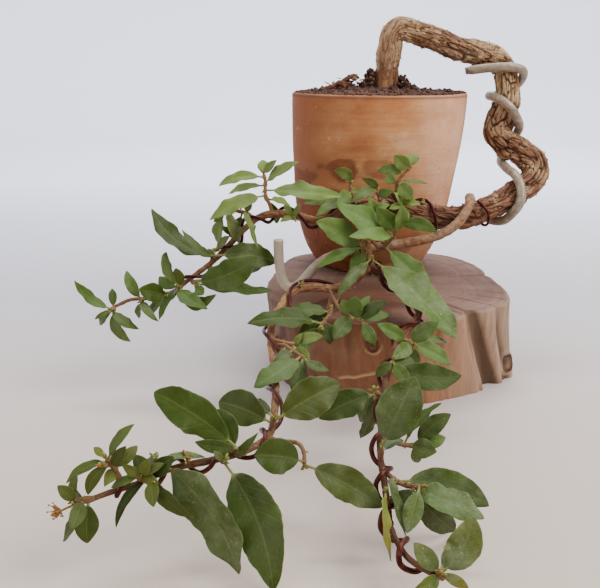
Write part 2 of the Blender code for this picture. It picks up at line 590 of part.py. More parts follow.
def log_shape(height_share):
    """Outline of the log at a share of its height: the foot flares, and grooves run down it."""
    outline = np.array([(x, y, 0.0) for x, y in LOG_OUTLINE])
    ring = smooth_route(outline, 8.0, closed=True)[:, :2] - LOG_CENTRE
    along = distances_along(np.vstack([ring, ring[:1]]))
    even = np.linspace(0, along[-1], LOG_SIDES, endpoint=False)
    wrapped = np.vstack([ring, ring[:1]])
    ring = np.column_stack([np.interp(even, along, wrapped[:, axis]) for axis in range(2)])
    bearing = np.arctan2(ring[:, 1], ring[:, 0])
    below = 1 - height_share
    swell = 1 + (LOG_FOOT_FLARE - 1) * below ** 2
    swell = swell + 0.008 * np.sin(7 * bearing + 4 * height_share)
    for middle, lean, depth, spread in LOG_GROOVES:
        apart = np.angle(np.exp(1j * (bearing - middle - lean * below)))
        swell = swell - depth / 85.0 * np.exp(-(apart / spread) ** 2) * (0.55 + 0.45 * below)
    return ring * swell[:, None] + LOG_CENTRE + np.array(LOG_FOOT_SHIFT) * below


def log_slice(collection, finish):
    """Thick slice of a log with its bark off, standing on one sawn face."""
    levels = [(share, 1.0) for share in (0.0, 0.06, 0.45, 0.80, 1 - LOG_EDGE / LOG_HEIGHT)]
    levels.append((1.0, LOG_TOP_INSET))
    shape = bmesh.new()
    rings = []
    for share, inset in levels:
        outline = (log_shape(share) - LOG_CENTRE) * inset + LOG_CENTRE
        rings.append([shape.verts.new((x, y, share * LOG_HEIGHT)) for x, y in outline])
    for lower, upper in zip(rings, rings[1:]):
        for side in range(LOG_SIDES):
            after = (side + 1) % LOG_SIDES
            shape.faces.new((lower[side], lower[after], upper[after], upper[side]))
    shape.faces.new(reversed(rings[0]))
    shape.faces.new(rings[-1])
    bmesh.ops.recalc_face_normals(shape, faces=shape.faces)
    return object_from_bmesh("log_slice", shape, collection, finish)


def pot_lean(height):
    """Sideways drift of the wall at a height: none at the rim, all of it at the foot."""
    below = min(1.0, max(0.0, (POT_RIM - height) / (POT_RIM - POT_FOOT)))
    return POT_LEAN * math.sin(0.5 * math.pi * below) ** 1.5


def turned(name, profile, steps, collection, finish):
    """Solid of revolution: a profile at +X spun round the pot's axis, then leaned sideways."""
    shape = bmesh.new()
    corners = [shape.verts.new((radius, 0.0, height)) for height, radius in profile]
    ends_on_axis = profile[0][1] == 0 and profile[-1][1] == 0
    for first, second in zip(corners, corners[1:]):
        shape.edges.new((first, second))
    if not ends_on_axis:
        shape.edges.new((corners[-1], corners[0]))
    obj = object_from_bmesh(name, shape, collection)
    screw = obj.modifiers.new("turn", "SCREW")
    screw.steps = steps
    screw.render_steps = steps
    screw.use_merge_vertices = True
    screw.merge_threshold = 0.00001
    solid = flatten(obj, collection, finish)
    for vertex in solid.data.vertices:
        vertex.co.x += pot_lean(vertex.co.z / MM) * MM
    return solid


def pot(collection, finish):
    base = [(POT_FOOT, POT_BASE_RADIUS), (POT_FOOT, DRAIN_RADIUS), (POT_FLOOR, DRAIN_RADIUS)]
    profile = POT_OUTSIDE + base + POT_INSIDE
    return turned("pot", profile, POT_STEPS, collection, finish)


def soil(collection, cutters, finish):
    """Soil that fills the pot, with a lumpy top and a plain blind hole for the trunk."""
    wall = [(height, radius - SOIL_CLEARANCE) for height, radius in reversed(POT_INSIDE)
            if SOIL_FLOOR < height < SOIL_EDGE_HEIGHT]
    floor = [(SOIL_FLOOR, SOIL_FLOOR_RADIUS), (SOIL_FLOOR, 0.0)]
    profile = [(SOIL_PEAK, 0.0)] + SOIL_SURFACE + wall + floor
    solid = turned("soil", profile, POT_STEPS, collection, finish)
    for vertex in solid.data.vertices:
        x, y, z = vertex.co / MM
        if z > SOIL_EDGE_HEIGHT + 0.5:
            lumps = math.sin(0.31 * x + 1.0) * math.sin(0.27 * y) + 0.7 * math.sin(0.55 * x - 0.4 * y)
            vertex.co.z += SOIL_LUMPS * lumps * MM
    hole = bmesh.new()
    bmesh.ops.create_cone(hole, cap_ends=True, segments=20, radius1=TRUNK_HOLE_RADIUS,
                          radius2=TRUNK_HOLE_RADIUS, depth=HOLE_CUTTER_DEPTH)
    middle = TRUNK_FOOT - GAP + HOLE_CUTTER_DEPTH / 2
    bmesh.ops.translate(hole, vec=(TRUNK_ROUTE[0][0], TRUNK_ROUTE[0][1], middle), verts=hole.verts)
    cutter = object_from_bmesh("trunk_hole_cutter", hole, cutters)
    cutter.hide_render = True
    cutter.display_type = "WIRE"
    cut = solid.modifiers.new("trunk hole", "BOOLEAN")
    cut.operation = "DIFFERENCE"
    cut.object = cutter
    solid = flatten(solid, collection, finish)
    bpy.data.objects.remove(cutter)
    return solid


def trunk_loft(collection, finish):
    """Trunk as a loft of unlike rings, whose corky ridges twist slowly along it."""
    centres = smooth_route(TRUNK_ROUTE, TRUNK_RING_SPACING)
    radii = radii_along(TRUNK_RADII, centres)
    along = distances_along(centres)
    across, beside = ring_frames(centres)
    turn = np.linspace(0, 2 * math.pi, TRUNK_SIDES, endpoint=False)
    ridged = np.clip((centres[:, 2] - TRUNK_RIDGE_START) / 6.0, 0, 1)
    ridged[along > 45.0] = 1.0
    shape = bmesh.new()
    rings = []
    for centre, radius, s, u, v, rough in zip(centres, radii, along, across, beside, ridged):
        ridges = 0.0
        for count, twist, phase, proud in TRUNK_RIDGES:
            ridges = ridges + proud * np.sin(count * turn + twist * s + phase)
        girth = radius * (1 + rough * (ridges + 0.035 * math.sin(0.21 * s) * np.cos(turn + 0.02 * s)))
        for knot_at, knot_turn, knot_size in TRUNK_KNOTS:
            apart = np.angle(np.exp(1j * (turn - knot_turn)))
            nearness = np.exp(-((s - knot_at) / 5.0) ** 2 - (apart / 0.6) ** 2)
            girth = girth + knot_size * nearness
        ring = centre + u * (girth * np.cos(turn))[:, None] + v * (girth * np.sin(turn))[:, None]
        rings.append([shape.verts.new(corner) for corner in ring])
    for lower, upper in zip(rings, rings[1:]):
        for side in range(TRUNK_SIDES):
            after = (side + 1) % TRUNK_SIDES
            shape.faces.new((lower[side], lower[after], upper[after], upper[side]))
    shape.faces.new(reversed(rings[0]))
    shape.faces.new(rings[-1])
    bmesh.ops.recalc_face_normals(shape, faces=shape.faces)
    bmesh.ops.triangulate(shape, faces=shape.faces)
    return object_from_bmesh("trunk", shape, collection, finish)


def wood(collection, spare, finish):
    """Trunk and limbs, one grown piece."""
    trunk = trunk_loft(collection, finish)
    for limb, route in LIMBS.items():
        centres = smooth_route(route, LIMB_SPACING)
        detail = 2 if limb == "fork" else 1
        tube(limb, centres, radii_along(LIMB_RADII[limb], centres), detail, spare)
    return join_all(trunk, spare, "EXACT")


def wood_line(limb):
    """Middle line of the trunk or of a limb, and its radius along it."""
    route = smooth_route(TRUNK_ROUTE if limb == "trunk" else LIMBS[limb], 1.0)
    return route, radii_along(TRUNK_RADII if limb == "trunk" else LIMB_RADII[limb], route)


def coil_path(coil):
    """What a coil is wound on: a stretch of trunk or fork, and the limb that goes on from it."""
    route, girth = wood_line(coil["lead"])
    wanted = distances_along(route) >= coil["skip"]
    route, girth = route[wanted], girth[wanted]
    if coil["limb"] is None:
        return route, girth
    limb_route, limb_girth = wood_line(coil["limb"])
    return np.vstack([route[:-1], limb_route]), np.concatenate([girth[:-1], limb_girth])


def coil_route(coil):
    """Middle line of a wire wound round its path, with the turns it has made at each place."""
    centres, girth = coil_path(coil)
    along = distances_along(centres)
    places, turns = zip(*coil["turns"])
    at = np.arange(places[0], places[-1], 1.5)
    middle = np.column_stack([np.interp(at, along, centres[:, axis]) for axis in range(3)])
    reach = np.interp(at, along, girth) + coil["radius"] + GAP
    tangents = np.gradient(middle, axis=0)
    tangents /= np.linalg.norm(tangents, axis=1)[:, None]
    view = np.array(FACE_DIRECTION)
    front_side = view - tangents * (tangents @ view)[:, None]
    front_side /= np.linalg.norm(front_side, axis=1)[:, None]
    beside = np.cross(tangents, front_side)
    angle = 2 * math.pi * np.interp(at, places, turns)[:, None]
    return middle + reach[:, None] * (np.cos(angle) * front_side + np.sin(angle) * beside)


def wires(collection, solids, grey_metal, brown_metal):
    """The heavy wire along its own route, and thin ones coiled round trunk and limbs."""
    tree = search_tree(solids)
    route = smooth_route(HEAVY_WIRE_ROUTE, HEAVY_WIRE_SPACING)
    route = push_clear(route, HEAVY_WIRE_RADIUS + GAP, tree, 0.25)
    heavy_wire = tube("heavy_wire", route, HEAVY_WIRE_RADIUS, 2, collection, grey_metal)
    tree = search_tree(solids + [heavy_wire])
    for name, coil in COILS.items():
        route = smooth_route(coil_route(coil), COIL_SPACING)
        route = push_clear(route, coil["radius"] + COIL_GAP, tree)
        tube(name, route, coil["radius"], 1, collection, brown_metal)


def twig_start(base, toward, radius, tree):
    """Where a twig's end face just clears the bark, going out from the limb's middle."""
    direction = unit(np.asarray(toward, float))
    across = unit(np.cross(direction, (0.3, 0.2, 1.0)))
    beside = np.cross(direction, across)
    turns = np.linspace(0, 2 * math.pi, 8, endpoint=False)
    for reach in np.arange(1.0, 30.0, 0.1):
        centre = np.asarray(base, float) + direction * reach
        rim = [centre + radius * (across * math.cos(turn) + beside * math.sin(turn)) for turn in turns]
        clear = True
        for point in [centre] + rim:
            place, normal, _face, distance = tree.find_nearest(point)
            if distance < GAP or np.dot(point - np.array(place), normal) < 0:
                clear = False
        if clear:
            return centre
    raise ValueError("a twig never leaves the bark")


def limb_point(limb, at):
    route, _girth = wood_line(limb)
    along = distances_along(route)
    return np.array([np.interp(at, along, route[:, axis]) for axis in range(3)])


def twig_line(base, bends, tree):
    """Middle line of a twig from just outside the bark through its bends."""
    start = twig_start(base, bends[0], TWIG_RADII[0][1], tree)
    points = np.vstack([start, base + np.asarray(bends, float)])
    return smooth_route(points, TWIG_SPACING)


def twig_point(line, share):
    along = distances_along(line)
    return np.array([np.interp(share * along[-1], along, line[:, axis]) for axis in range(3)])


def shoot(name, limb, at, bends, leaves, tree, collection, spare, finish):
    """A twig with its leaves, grown into one piece; it stands a hair clear of the bark."""
    line = twig_line(limb_point(limb, at), bends, tree)
    twig = tube(name, line, radii_along(TWIG_RADII, line), 1, collection, finish)
    for share, reach, width, roll, rise, form, sway in leaves:
        leaf(twig_point(line, share), reach, width, roll, rise, form, sway, spare)
    return join_all(twig, spare, "MANIFOLD")


def clear_scene():
    for obj in list(bpy.data.objects):
        bpy.data.objects.remove(obj)
    for collection in list(bpy.data.collections):
        bpy.data.collections.remove(collection)


def build():
    clear_scene()
    home = bpy.data.collections.new("barbados_cherry_bonsai")
    cutters = bpy.data.collections.new("cutters")
    spare = bpy.data.collections.new("pieces_to_join")
    for collection in (home, cutters, spare):
        bpy.context.scene.collection.children.link(collection)
    sawn_wood = material("weathered_log", (0.36, 0.24, 0.17), 0.75)
    clay = material("terracotta", (0.52, 0.27, 0.15), 0.80)
    earth = material("dark_soil", (0.06, 0.035, 0.02), 0.95)
    bark = material("corky_bark", (0.33, 0.22, 0.13), 0.85)
    grey_metal = material("weathered_aluminium", (0.45, 0.40, 0.33), 0.50, 0.6)
    brown_metal = material("brown_anodised_wire", (0.07, 0.02, 0.015), 0.30, 0.8)
    foliage = material("cherry_leaf", (0.08, 0.17, 0.04), 0.45)

    log = log_slice(home, sawn_wood)
    vessel = pot(home, clay)
    soil(home, cutters, earth)
    tree_wood = wood(home, spare, bark)
    bark_tree = search_tree([tree_wood])
    wires(home, [tree_wood, vessel, log], grey_metal, brown_metal)
    for name, limb, at, bends, leaves in SHOOTS:
        shoot(name, limb, at, bends, leaves, bark_tree, home, spare, foliage)
    bpy.data.collections.remove(spare)


build()
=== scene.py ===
# The looks of a cascading Barbados cherry bonsai in its terracotta pot, on a slice of log.
# Lengths are worked in millimetres, as in the part's source, and made metres when a mesh is
# filled. +Z is up, the pot's axis is x = y = 0, the table is z = 0 and the front is -Y.
import math

import bpy
import numpy as np
from mathutils.bvhtree import BVHTree
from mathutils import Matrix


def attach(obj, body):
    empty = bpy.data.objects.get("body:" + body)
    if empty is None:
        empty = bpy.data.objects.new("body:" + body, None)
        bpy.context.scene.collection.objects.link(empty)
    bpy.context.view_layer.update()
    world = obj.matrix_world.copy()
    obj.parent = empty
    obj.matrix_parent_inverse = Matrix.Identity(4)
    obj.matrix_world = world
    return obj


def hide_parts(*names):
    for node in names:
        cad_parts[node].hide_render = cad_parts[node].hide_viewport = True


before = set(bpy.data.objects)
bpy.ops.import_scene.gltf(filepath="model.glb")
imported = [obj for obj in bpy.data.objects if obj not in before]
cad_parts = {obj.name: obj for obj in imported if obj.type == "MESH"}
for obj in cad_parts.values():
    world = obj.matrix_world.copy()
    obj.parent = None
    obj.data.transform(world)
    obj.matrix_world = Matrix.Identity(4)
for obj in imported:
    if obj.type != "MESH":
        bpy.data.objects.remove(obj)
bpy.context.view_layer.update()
print("frame loaded:", len(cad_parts), "nodes")

mm = 0.001
tau = 2 * math.pi


# Routes and surfaces

def unit(vectors):
    # each vector divided by its own length
    vectors = np.asarray(vectors, float)
    return vectors / np.linalg.norm(vectors, axis=-1, keepdims=True)


def distancesAlong(points):
    # running sum of the straight steps between neighbours
    return np.concatenate([[0.0], np.cumsum(np.linalg.norm(np.diff(points, axis=0), axis=1))])


def pointAlong(route, distance):
    # the place at a distance along a route, or the places at several
    along = distancesAlong(route)
    return np.stack([np.interp(distance, along, axis) for axis in route.T], -1)


def smoothRoute(points, spacing, closed=False):
    # Catmull-Rom: half the cubic in t through two points and their neighbours, at even distances
    through = np.asarray(points, float)
    if closed:
        through = np.vstack([through[-1], through, through[:2]])
    else:
        through = np.vstack([2 * through[0] - through[1], through, 2 * through[-1] - through[-2]])
    t = np.linspace(0, 1, 12, endpoint=False)[None, :, None]
    a, b, c, d = (through[k:len(through) - 3 + k, None] for k in range(4))
    runs = 0.5 * (2 * b + (c - a) * t + (2 * a - 5 * b + 4 * c - d) * t ** 2
                  + (3 * b - 3 * c + d - a) * t ** 3)
    fine = np.vstack([runs.reshape(-1, through.shape[1]), through[-2:-1]])
    total = distancesAlong(fine)[-1]
    return pointAlong(fine, np.linspace(0, total, max(2, round(total / spacing) + 1)))


def tableAlong(table, centres):
    # a value given at shares of a route's length, at each of its points
    along = distancesAlong(centres)
    shares, values = zip(*table)
    return np.interp(along / along[-1], shares, values)


def roundTurns(count):
    # directions at even steps round a ring
    return np.linspace(0, tau, count, endpoint=False)[None]


def wrapped(angle):
    # the same angle between -pi and pi
    return np.angle(np.exp(1j * angle))


def ringFrames(centres):
    # two directions across the route, carried along it without twisting
    tangents = unit(np.gradient(centres, axis=0))
    across = [unit(np.cross(tangents[0], (0.0, 1.0, 0.0)))]
    for tangent in tangents[1:]:
        across.append(unit(across[-1] - tangent * np.dot(across[-1], tangent)))
    across = np.array(across)
    return across, np.cross(tangents, across)


def latticeNoise(x, y, seed, wrap=0):
    # random heights at whole numbers of x and y, joined by 3t2 - 2t3; wrap closes y on itself
    size = 251
    draw = np.random.default_rng(seed).uniform(-1, 1, (size, size))
    x, y = np.broadcast_arrays(x, y)
    left, low = np.floor(x).astype(int), np.floor(y).astype(int)
    right, high = left + 1, low + 1
    p, q = x - left, y - low
    p, q = p * p * (3 - 2 * p), q * q * (3 - 2 * q)
    if wrap:
        low, high = low % wrap, high % wrap
    left, right, low, high = left % size, right % size, low % size, high % size
    lower = draw[left, low] * (1 - p) + draw[right, low] * p
    upper = draw[left, high] * (1 - p) + draw[right, high] * p
    return lower * (1 - q) + upper * q


def layeredNoise(x, y, seed, wrap=0, layers=3):
    # lattice noise, plus half of it twice as fine, and so on, brought back to about -1 to 1
    total = 0.0
    for layer in range(layers):
        finer = 2 ** layer
        total = total + latticeNoise(x * finer, y * finer, seed + layer, wrap * finer) / finer
    return total / 1.6


def bell(offset, spread):
    # 1 at the middle and 0 far from it
    return np.exp(-(np.asarray(offset) / spread) ** 2)


def ease(value, low, high):
    # 0 below low and 1 above high, smooth between
    t = np.clip((value - low) / (high - low), 0, 1)
    return t * t * (3 - 2 * t)


def roundedEnd(left, reach, least=0.02):
    # a quarter circle over the last of the way to an end, as a share of the girth
    return np.sqrt(np.clip(1 - (np.clip(reach - left, 0, reach) / (reach + 0.02)) ** 2, least, 1))


def ringQuads(rows, sides, closeRows=False):
    # the cells of a grid whose rings close on themselves
    last = rows if closeRows else rows - 1
    i, j = np.meshgrid(np.arange(last), np.arange(sides), indexing="ij")
    n, k = (i + 1) % rows, (j + 1) % sides
    return np.stack([i * sides + j, i * sides + k, n * sides + k, n * sides + j], -1).reshape(-1, 4)


def closedTube(rings, finish=0, **attributes):
    # a grid of rings, and a pole in the middle of each end ring
    rows, sides = rings.shape[:2]
    poles = np.array([rings[0].mean(0), rings[-1].mean(0)])
    first = rows * sides
    j = np.arange(sides)
    k = (j + 1) % sides
    start = np.stack([np.full(sides, first), k, j], -1)
    end = np.stack([np.full(sides, first + 1), first - sides + j, first - sides + k], -1)
    values = {}
    for name, grid in attributes.items():
        grid = np.broadcast_to(grid, (rows, sides))
        values[name] = np.concatenate([grid.ravel(), [grid[0].mean(), grid[-1].mean()]])
    return {"points": np.vstack([rings.reshape(-1, 3), poles]), "quads": ringQuads(rows, sides),
            "triangles": np.vstack([start, end]), "finish": finish, "values": values}


def turnedRings(radius, turn, height, shift=0.0):
    # rings round an upright axis: radius * cos(turn) + shift, radius * sin(turn), height
    return np.stack(np.broadcast_arrays(radius * np.cos(turn) + shift, radius * np.sin(turn), height), -1)


def tubeRings(centres, girth, turn):
    # centre + girth * (across * cos(turn) + beside * sin(turn))
    across, beside = ringFrames(centres)
    girth = np.broadcast_to(np.asarray(girth, float), (len(centres), turn.shape[-1]))[..., None]
    cosine, sine = np.cos(turn)[..., None], np.sin(turn)[..., None]
    return centres[:, None] + girth * (across[:, None] * cosine + beside[:, None] * sine)


def scattered(base, faces, places, frames, sizes, finish=0, **attributes):
    # one small closed shape at many places: place + its axes * size * shape
    shaped = np.broadcast_to(base, (len(places),) + base.shape[-2:]) * sizes[:, None]
    count, corners = shaped.shape[:2]
    points = places[:, None] + np.einsum("nca,nab->ncb", shaped, frames)
    offsets = (np.arange(count) * corners)[:, None, None]
    values = {name: np.repeat(np.broadcast_to(value, count), corners) for name, value in attributes.items()}
    return {"points": points.reshape(-1, 3), "quads": np.empty((0, 4), int),
            "triangles": (faces[None] + offsets).reshape(-1, 3), "finish": finish, "values": values}


def randomFrames(draw, count, tilt=math.pi):
    # axes turned at random about Z, then tipped by up to tilt towards a random side
    turn, lean, side = (draw.uniform(low, high, count) for low, high in ((0, tau), (-tilt, tilt), (0, tau)))
    x = np.stack([np.cos(turn), np.sin(turn), 0 * turn], -1)
    z = np.stack([np.sin(lean) * np.cos(side), np.sin(lean) * np.sin(side), np.cos(lean)], -1)
    y = unit(np.cross(z, x))
    return np.stack([np.cross(y, z), y, z], 1)


def framesAlong(x, beside):
    # axes with x along the given ways and y square to them and to the ways beside
    y = unit(np.cross(x, beside))
    return np.stack([x, y, np.cross(x, y)], 1)


def needleSizes(long, thin):
    # half sizes of slim shapes: long one way and thin the other two
    return np.stack([long, np.full(len(long), thin), np.full(len(long), thin)], -1)


def makePiece(name, solids, finishes, replaced=(), flat=()):
    # fill one mesh with several closed solids; each has the finish of its number
    mesh = bpy.data.meshes.new(name)
    first, points, quads, triangles, kinds, shading = 0, [], [], [], [], []
    for solid in solids:
        points.append(solid["points"])
        quads.append(solid["quads"] + first)
        triangles.append(solid["triangles"] + first)
        first += len(solid["points"])
    for form in ("quads", "triangles"):
        for solid in solids:
            kinds.append(np.full(len(solid[form]), solid["finish"]))
            shading.append(np.full(len(solid[form]), solid["finish"] not in flat))
    quads, triangles = np.vstack(quads), np.vstack(triangles)
    corners = np.concatenate([quads.ravel(), triangles.ravel()])
    starts = np.concatenate([4 * np.arange(len(quads)), 4 * len(quads) + 3 * np.arange(len(triangles))])
    mesh.vertices.add(first)
    mesh.vertices.foreach_set("co", (np.vstack(points) * mm).astype(np.float32).ravel())
    mesh.loops.add(len(corners))
    mesh.loops.foreach_set("vertex_index", corners.astype(np.int32))
    mesh.polygons.add(len(starts))
    mesh.polygons.foreach_set("loop_start", starts.astype(np.int32))
    mesh.polygons.foreach_set("use_smooth", np.concatenate(shading))
    mesh.polygons.foreach_set("material_index", np.concatenate(kinds).astype(np.int32))
    for label in sorted({label for solid in solids for label in solid["values"]}):
        parts = [solid["values"].get(label, np.zeros(len(solid["points"]))) for solid in solids]
        layer = mesh.attributes.new(label, "FLOAT", "POINT")
        layer.data.foreach_set("value", np.concatenate(parts).astype(np.float32))
    mesh.update(calc_edges=True)
    for finish in finishes:
        mesh.materials.append(finish)
    piece = bpy.data.objects.new(name, mesh)
    bpy.context.scene.collection.objects.link(piece)
    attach(piece, "root")
    if replaced:
        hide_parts(*replaced)
    return piece


# Materials

def newFinish(name, **shader):
    # a Principled material with its constant values on the shader's own sockets
    finish = bpy.data.materials.new(name)
    finish.use_nodes = True
    principled = finish.node_tree.nodes["Principled BSDF"]
    for socket, value in shader.items():
        principled.inputs[socket.replace("_", " ")].default_value = value
    return finish, finish.node_tree, principled


def node(tree, kind, inputs=(), **settings):
    # a node, its settings, and its inputs as a value or another node's output
    made = tree.nodes.new("ShaderNode" + kind)
    for key, value in settings.items():
        setattr(made, key, value)
    for key, value in dict(inputs).items():
        if isinstance(value, bpy.types.NodeSocket):
            tree.links.new(value, made.inputs[key])
        else:
            made.inputs[key].default_value = value
    return made


def noiseOf(tree, scale, detail=4.0, roughness=0.55, stretch=(1, 1, 1), twist=0.0):
    # noise on Object coordinates, finer along the axes that stretch makes larger
    where = node(tree, "TexCoord").outputs["Object"]
    if stretch != (1, 1, 1):
        where = node(tree, "Mapping", {"Vector": where, "Scale": stretch}).outputs[0]
    values = {"Vector": where, "Scale": scale, "Detail": detail, "Roughness": roughness, "Distortion": twist}
    return node(tree, "TexNoise", values).outputs["Fac"]


def valueOf(tree, name):
    return node(tree, "Attribute", attribute_name=name).outputs["Fac"]


def rampOf(tree, factor, *stops):
    # colours or greys at places from 0 to 1
    made = node(tree, "ValToRGB", {"Fac": factor})
    band = made.color_ramp
    while len(band.elements) < len(stops):
        band.elements.new(1.0)
    for element, (place, colour) in zip(band.elements, stops):
        element.position = place
        element.color = (colour, colour, colour, 1) if np.isscalar(colour) else (*colour, 1)
    return made.outputs["Color"]


def mixOf(tree, factor, first, second, blend="MIX"):
    # second laid over first by the factor
    made = node(tree, "Mix", {0: factor}, data_type="RGBA", blend_type=blend)
    for socket, value in ((6, first), (7, second)):
        if isinstance(value, bpy.types.NodeSocket):
            tree.links.new(value, made.inputs[socket])
        else:
            made.inputs[socket].default_value = (*value, 1)
    return made.outputs[2]


def mathOf(tree, operation, first, second=0.0):
    return node(tree, "Math", {0: first, 1: second}, operation=operation).outputs[0]


def timesOf(tree, first, *others):
    for other in others:
        first = mathOf(tree, "MULTIPLY", first, other)
    return first


def maskOf(tree, mask):
    # an amount or an output as it is, an attribute by its name, or an attribute or noise with stops
    if isinstance(mask, str):
        return valueOf(tree, mask)
    if isinstance(mask, tuple):
        source, *stops = mask
        found = valueOf(tree, source) if isinstance(source, str) else noiseOf(tree, *source)
        return rampOf(tree, found, *stops)
    return mask


def layersOver(tree, colour, layers):
    # each layer's colour laid over the ones before it, by the product of its masks
    for paint, *masks in layers:
        colour = mixOf(tree, timesOf(tree, *[maskOf(tree, mask) for mask in masks]), colour, paint)
    return colour


def reliefOf(tree, *bumps):
    # bumps on top of one another, each a noise or an output and its height in millimetres
    normal = None
    for source, depth in bumps:
        height = noiseOf(tree, *source) if isinstance(source, tuple) else source
        made = node(tree, "Bump", {"Height": height, "Distance": depth * mm, "Strength": 1.0})
        if normal is not None:
            tree.links.new(normal, made.inputs["Normal"])
        normal = made.outputs["Normal"]
    return normal


def shade(tree, principled, **sockets):
    for socket, value in sockets.items():
        tree.links.new(value, principled.inputs[socket.replace("_", " ")])


# Camera, light and floor

studio = {
    "cameraAt": (-55.0, -542.0, 194.0), "lookDown": 17.2, "lens": 45.0, "sensor": 36.0, "nearest": 10.0,
    "sky": (0.92, 0.955, 1.0), "skyStrength": 0.68,
    # a disc that is flat out to where it starts to rise; its colours run from the front to the back, warm and
    # dim in front and cool and bright far behind, as painted light
    "floor": {
        "radius": 3400.0, "flat": 1500.0, "rise": 1500.0, "rings": 90, "sides": 128, "fades": (-420, 1100),
        "tones": [(0.0, (0.59, 0.475, 0.390)), (0.25, (0.50, 0.480, 0.525)), (0.55, (0.62, 0.62, 0.68)),
                  (0.85, (0.80, 0.83, 0.94))]},
    # where each light stands, where it aims, its size, power and colour
    "lights": {
        "windowRight": [(900, -500, 1150), (0, -80, 100), 900, 25.0, (1.0, 0.985, 0.96)],
        "softLeft": [(-1100, -700, 700), (0, -80, 80), 1100, 7.5, (0.93, 0.96, 1.0)],
        "behind": [(300, 1100, 1100), (0, 0, 60), 1000, 10.0, (0.95, 0.97, 1.0)],
        "backWash": [(0, 700, 2100), (0, 2900, 300), 1500, 85.0, (0.95, 0.97, 1.0)]},
}


def makeCamera():
    camera = bpy.data.objects.new("camera", bpy.data.cameras.new("camera"))
    camera.data.lens = studio["lens"]
    camera.data.sensor_width = studio["sensor"]
    camera.data.clip_start = studio["nearest"] * mm
    camera.location = [value * mm for value in studio["cameraAt"]]
    camera.rotation_euler = (math.radians(90 - studio["lookDown"]), 0, 0)
    bpy.context.scene.collection.objects.link(camera)
    bpy.context.scene.camera = camera


def makeLights():
    world = bpy.data.worlds.new("softSky")
    world.use_nodes = True
    sky = world.node_tree.nodes["Background"]
    sky.inputs["Color"].default_value = (*studio["sky"], 1)
    sky.inputs["Strength"].default_value = studio["skyStrength"]
    bpy.context.scene.world = world
    for name, (at, aim, size, power, colour) in studio["lights"].items():
        lamp = bpy.data.lights.new(name, "AREA")
        lamp.energy, lamp.size, lamp.color = power, size * mm, colour
        light = bpy.data.objects.new(name, lamp)
        x, y, z = unit(np.subtract(at, aim))
        light.location = [value * mm for value in at]
        light.rotation_euler = (math.acos(z), 0, math.atan2(y, x) + math.pi / 2)
        bpy.context.scene.collection.objects.link(light)


def makeFloor():
    # a flat disc whose rim, far off, rises by an ease curve all round
    look = studio["floor"]
    radius = look["radius"] * np.linspace(0, 1, look["rings"])[1:, None]
    height = look["rise"] * ease(radius, look["flat"], look["radius"])
    disc = closedTube(turnedRings(radius, roundTurns(look["sides"]), height))
    # only the pole in the middle is kept, and the faces are turned to look up
    faces = disc["triangles"][:look["sides"], ::-1].tolist() + disc["quads"][:, ::-1].tolist()
    points = disc["points"][:-1]
    finish, tree, principled = newFinish("paleFloor", Roughness=0.85)
    # the floor's colour from front to back is painted light: warm and dim in front, cool and bright behind
    shade(tree, principled, Base_Color=rampOf(tree, valueOf(tree, "back"), *look["tones"]))
    mesh = bpy.data.meshes.new("floor")
    mesh.from_pydata((points * mm).tolist(), [], faces)
    mesh.polygons.foreach_set("use_smooth", np.ones(len(faces), bool))
    back = mesh.attributes.new("back", "FLOAT", "POINT")
    back.data.foreach_set("value", ease(points[:, 1], *look["fades"]).astype(np.float32))
    mesh.materials.append(finish)
    floor = bpy.data.objects.new("floor", mesh)
    bpy.context.scene.collection.objects.link(floor)


makeCamera()
makeLights()
makeFloor()
print("camera, lights and floor")


# Log slice

logLook = {
    "height": 52.0, "radius": 78.0, "footFlare": 1.03, "footShift": (5.0, 5.0), "edge": 2.0,
    "topInset": 0.975, "centre": (0.0, -52.0), "spacing": 1.2, "sides": 420, "sideRows": 84, "topRows": 64,
    "outline": [(33, -131), (56, -117), (72, -104), (78, -86), (79, -60), (77, -33), (71, -3), (58, 19),
                (38, 31), (12, 37), (-16, 37), (-44, 28), (-64, 6), (-75, -40), (-75, -82), (-62, -116),
                (-36, -134), (-2, -141)],
    # bearing at the top, how far it leans by the foot, depth, spread
    "grooves": [(-0.97, 0.15, 6.5, 0.07), (-0.71, 0.06, 4.0, 0.05), (0.20, 0.05, 4.5, 0.06),
                (-2.30, 0.05, 3.5, 0.05), (1.10, -0.10, 5.0, 0.06),
                (-1.30, 0.05, 0.9, 0.012), (-1.62, -0.08, 0.7, 0.010), (-1.05, 0.10, 1.2, 0.012),
                (-2.05, 0.06, 0.8, 0.012), (-0.52, 0.03, 1.1, 0.014), (-0.36, -0.05, 0.8, 0.010),
                (0.62, 0.08, 1.0, 0.014), (1.55, -0.06, 1.1, 0.014), (2.35, 0.05, 1.0, 0.012)],
    # bearing, share of the height, size, how proud
    "knots": [(-1.735, 0.74, 3.2, 1.2), (-0.62, 0.22, 4.5, 1.6), (-2.55, 0.45, 4.0, 1.0)],
    # a seam of resin: bearing and height at its ends
    "seam": {"from": (-1.966, 14.6), "to": (-1.600, 23.7), "half": 0.85, "proud": 0.8, "sway": 0.8},
    "grain": 0.55, "waves": 0.9, "cells": 96,
    # on the sawn top: dishing, saw marks, checks in line with the grooves, the pot's flat seat, and a patch
    # of painted shadow that the plant casts
    "dish": 0.25, "saw": 0.06, "check": 0.8, "seat": {"x": -4.2, "from": 40.0, "to": 46.0},
    "worn": (-24.0, -92.0, 48.0),
}


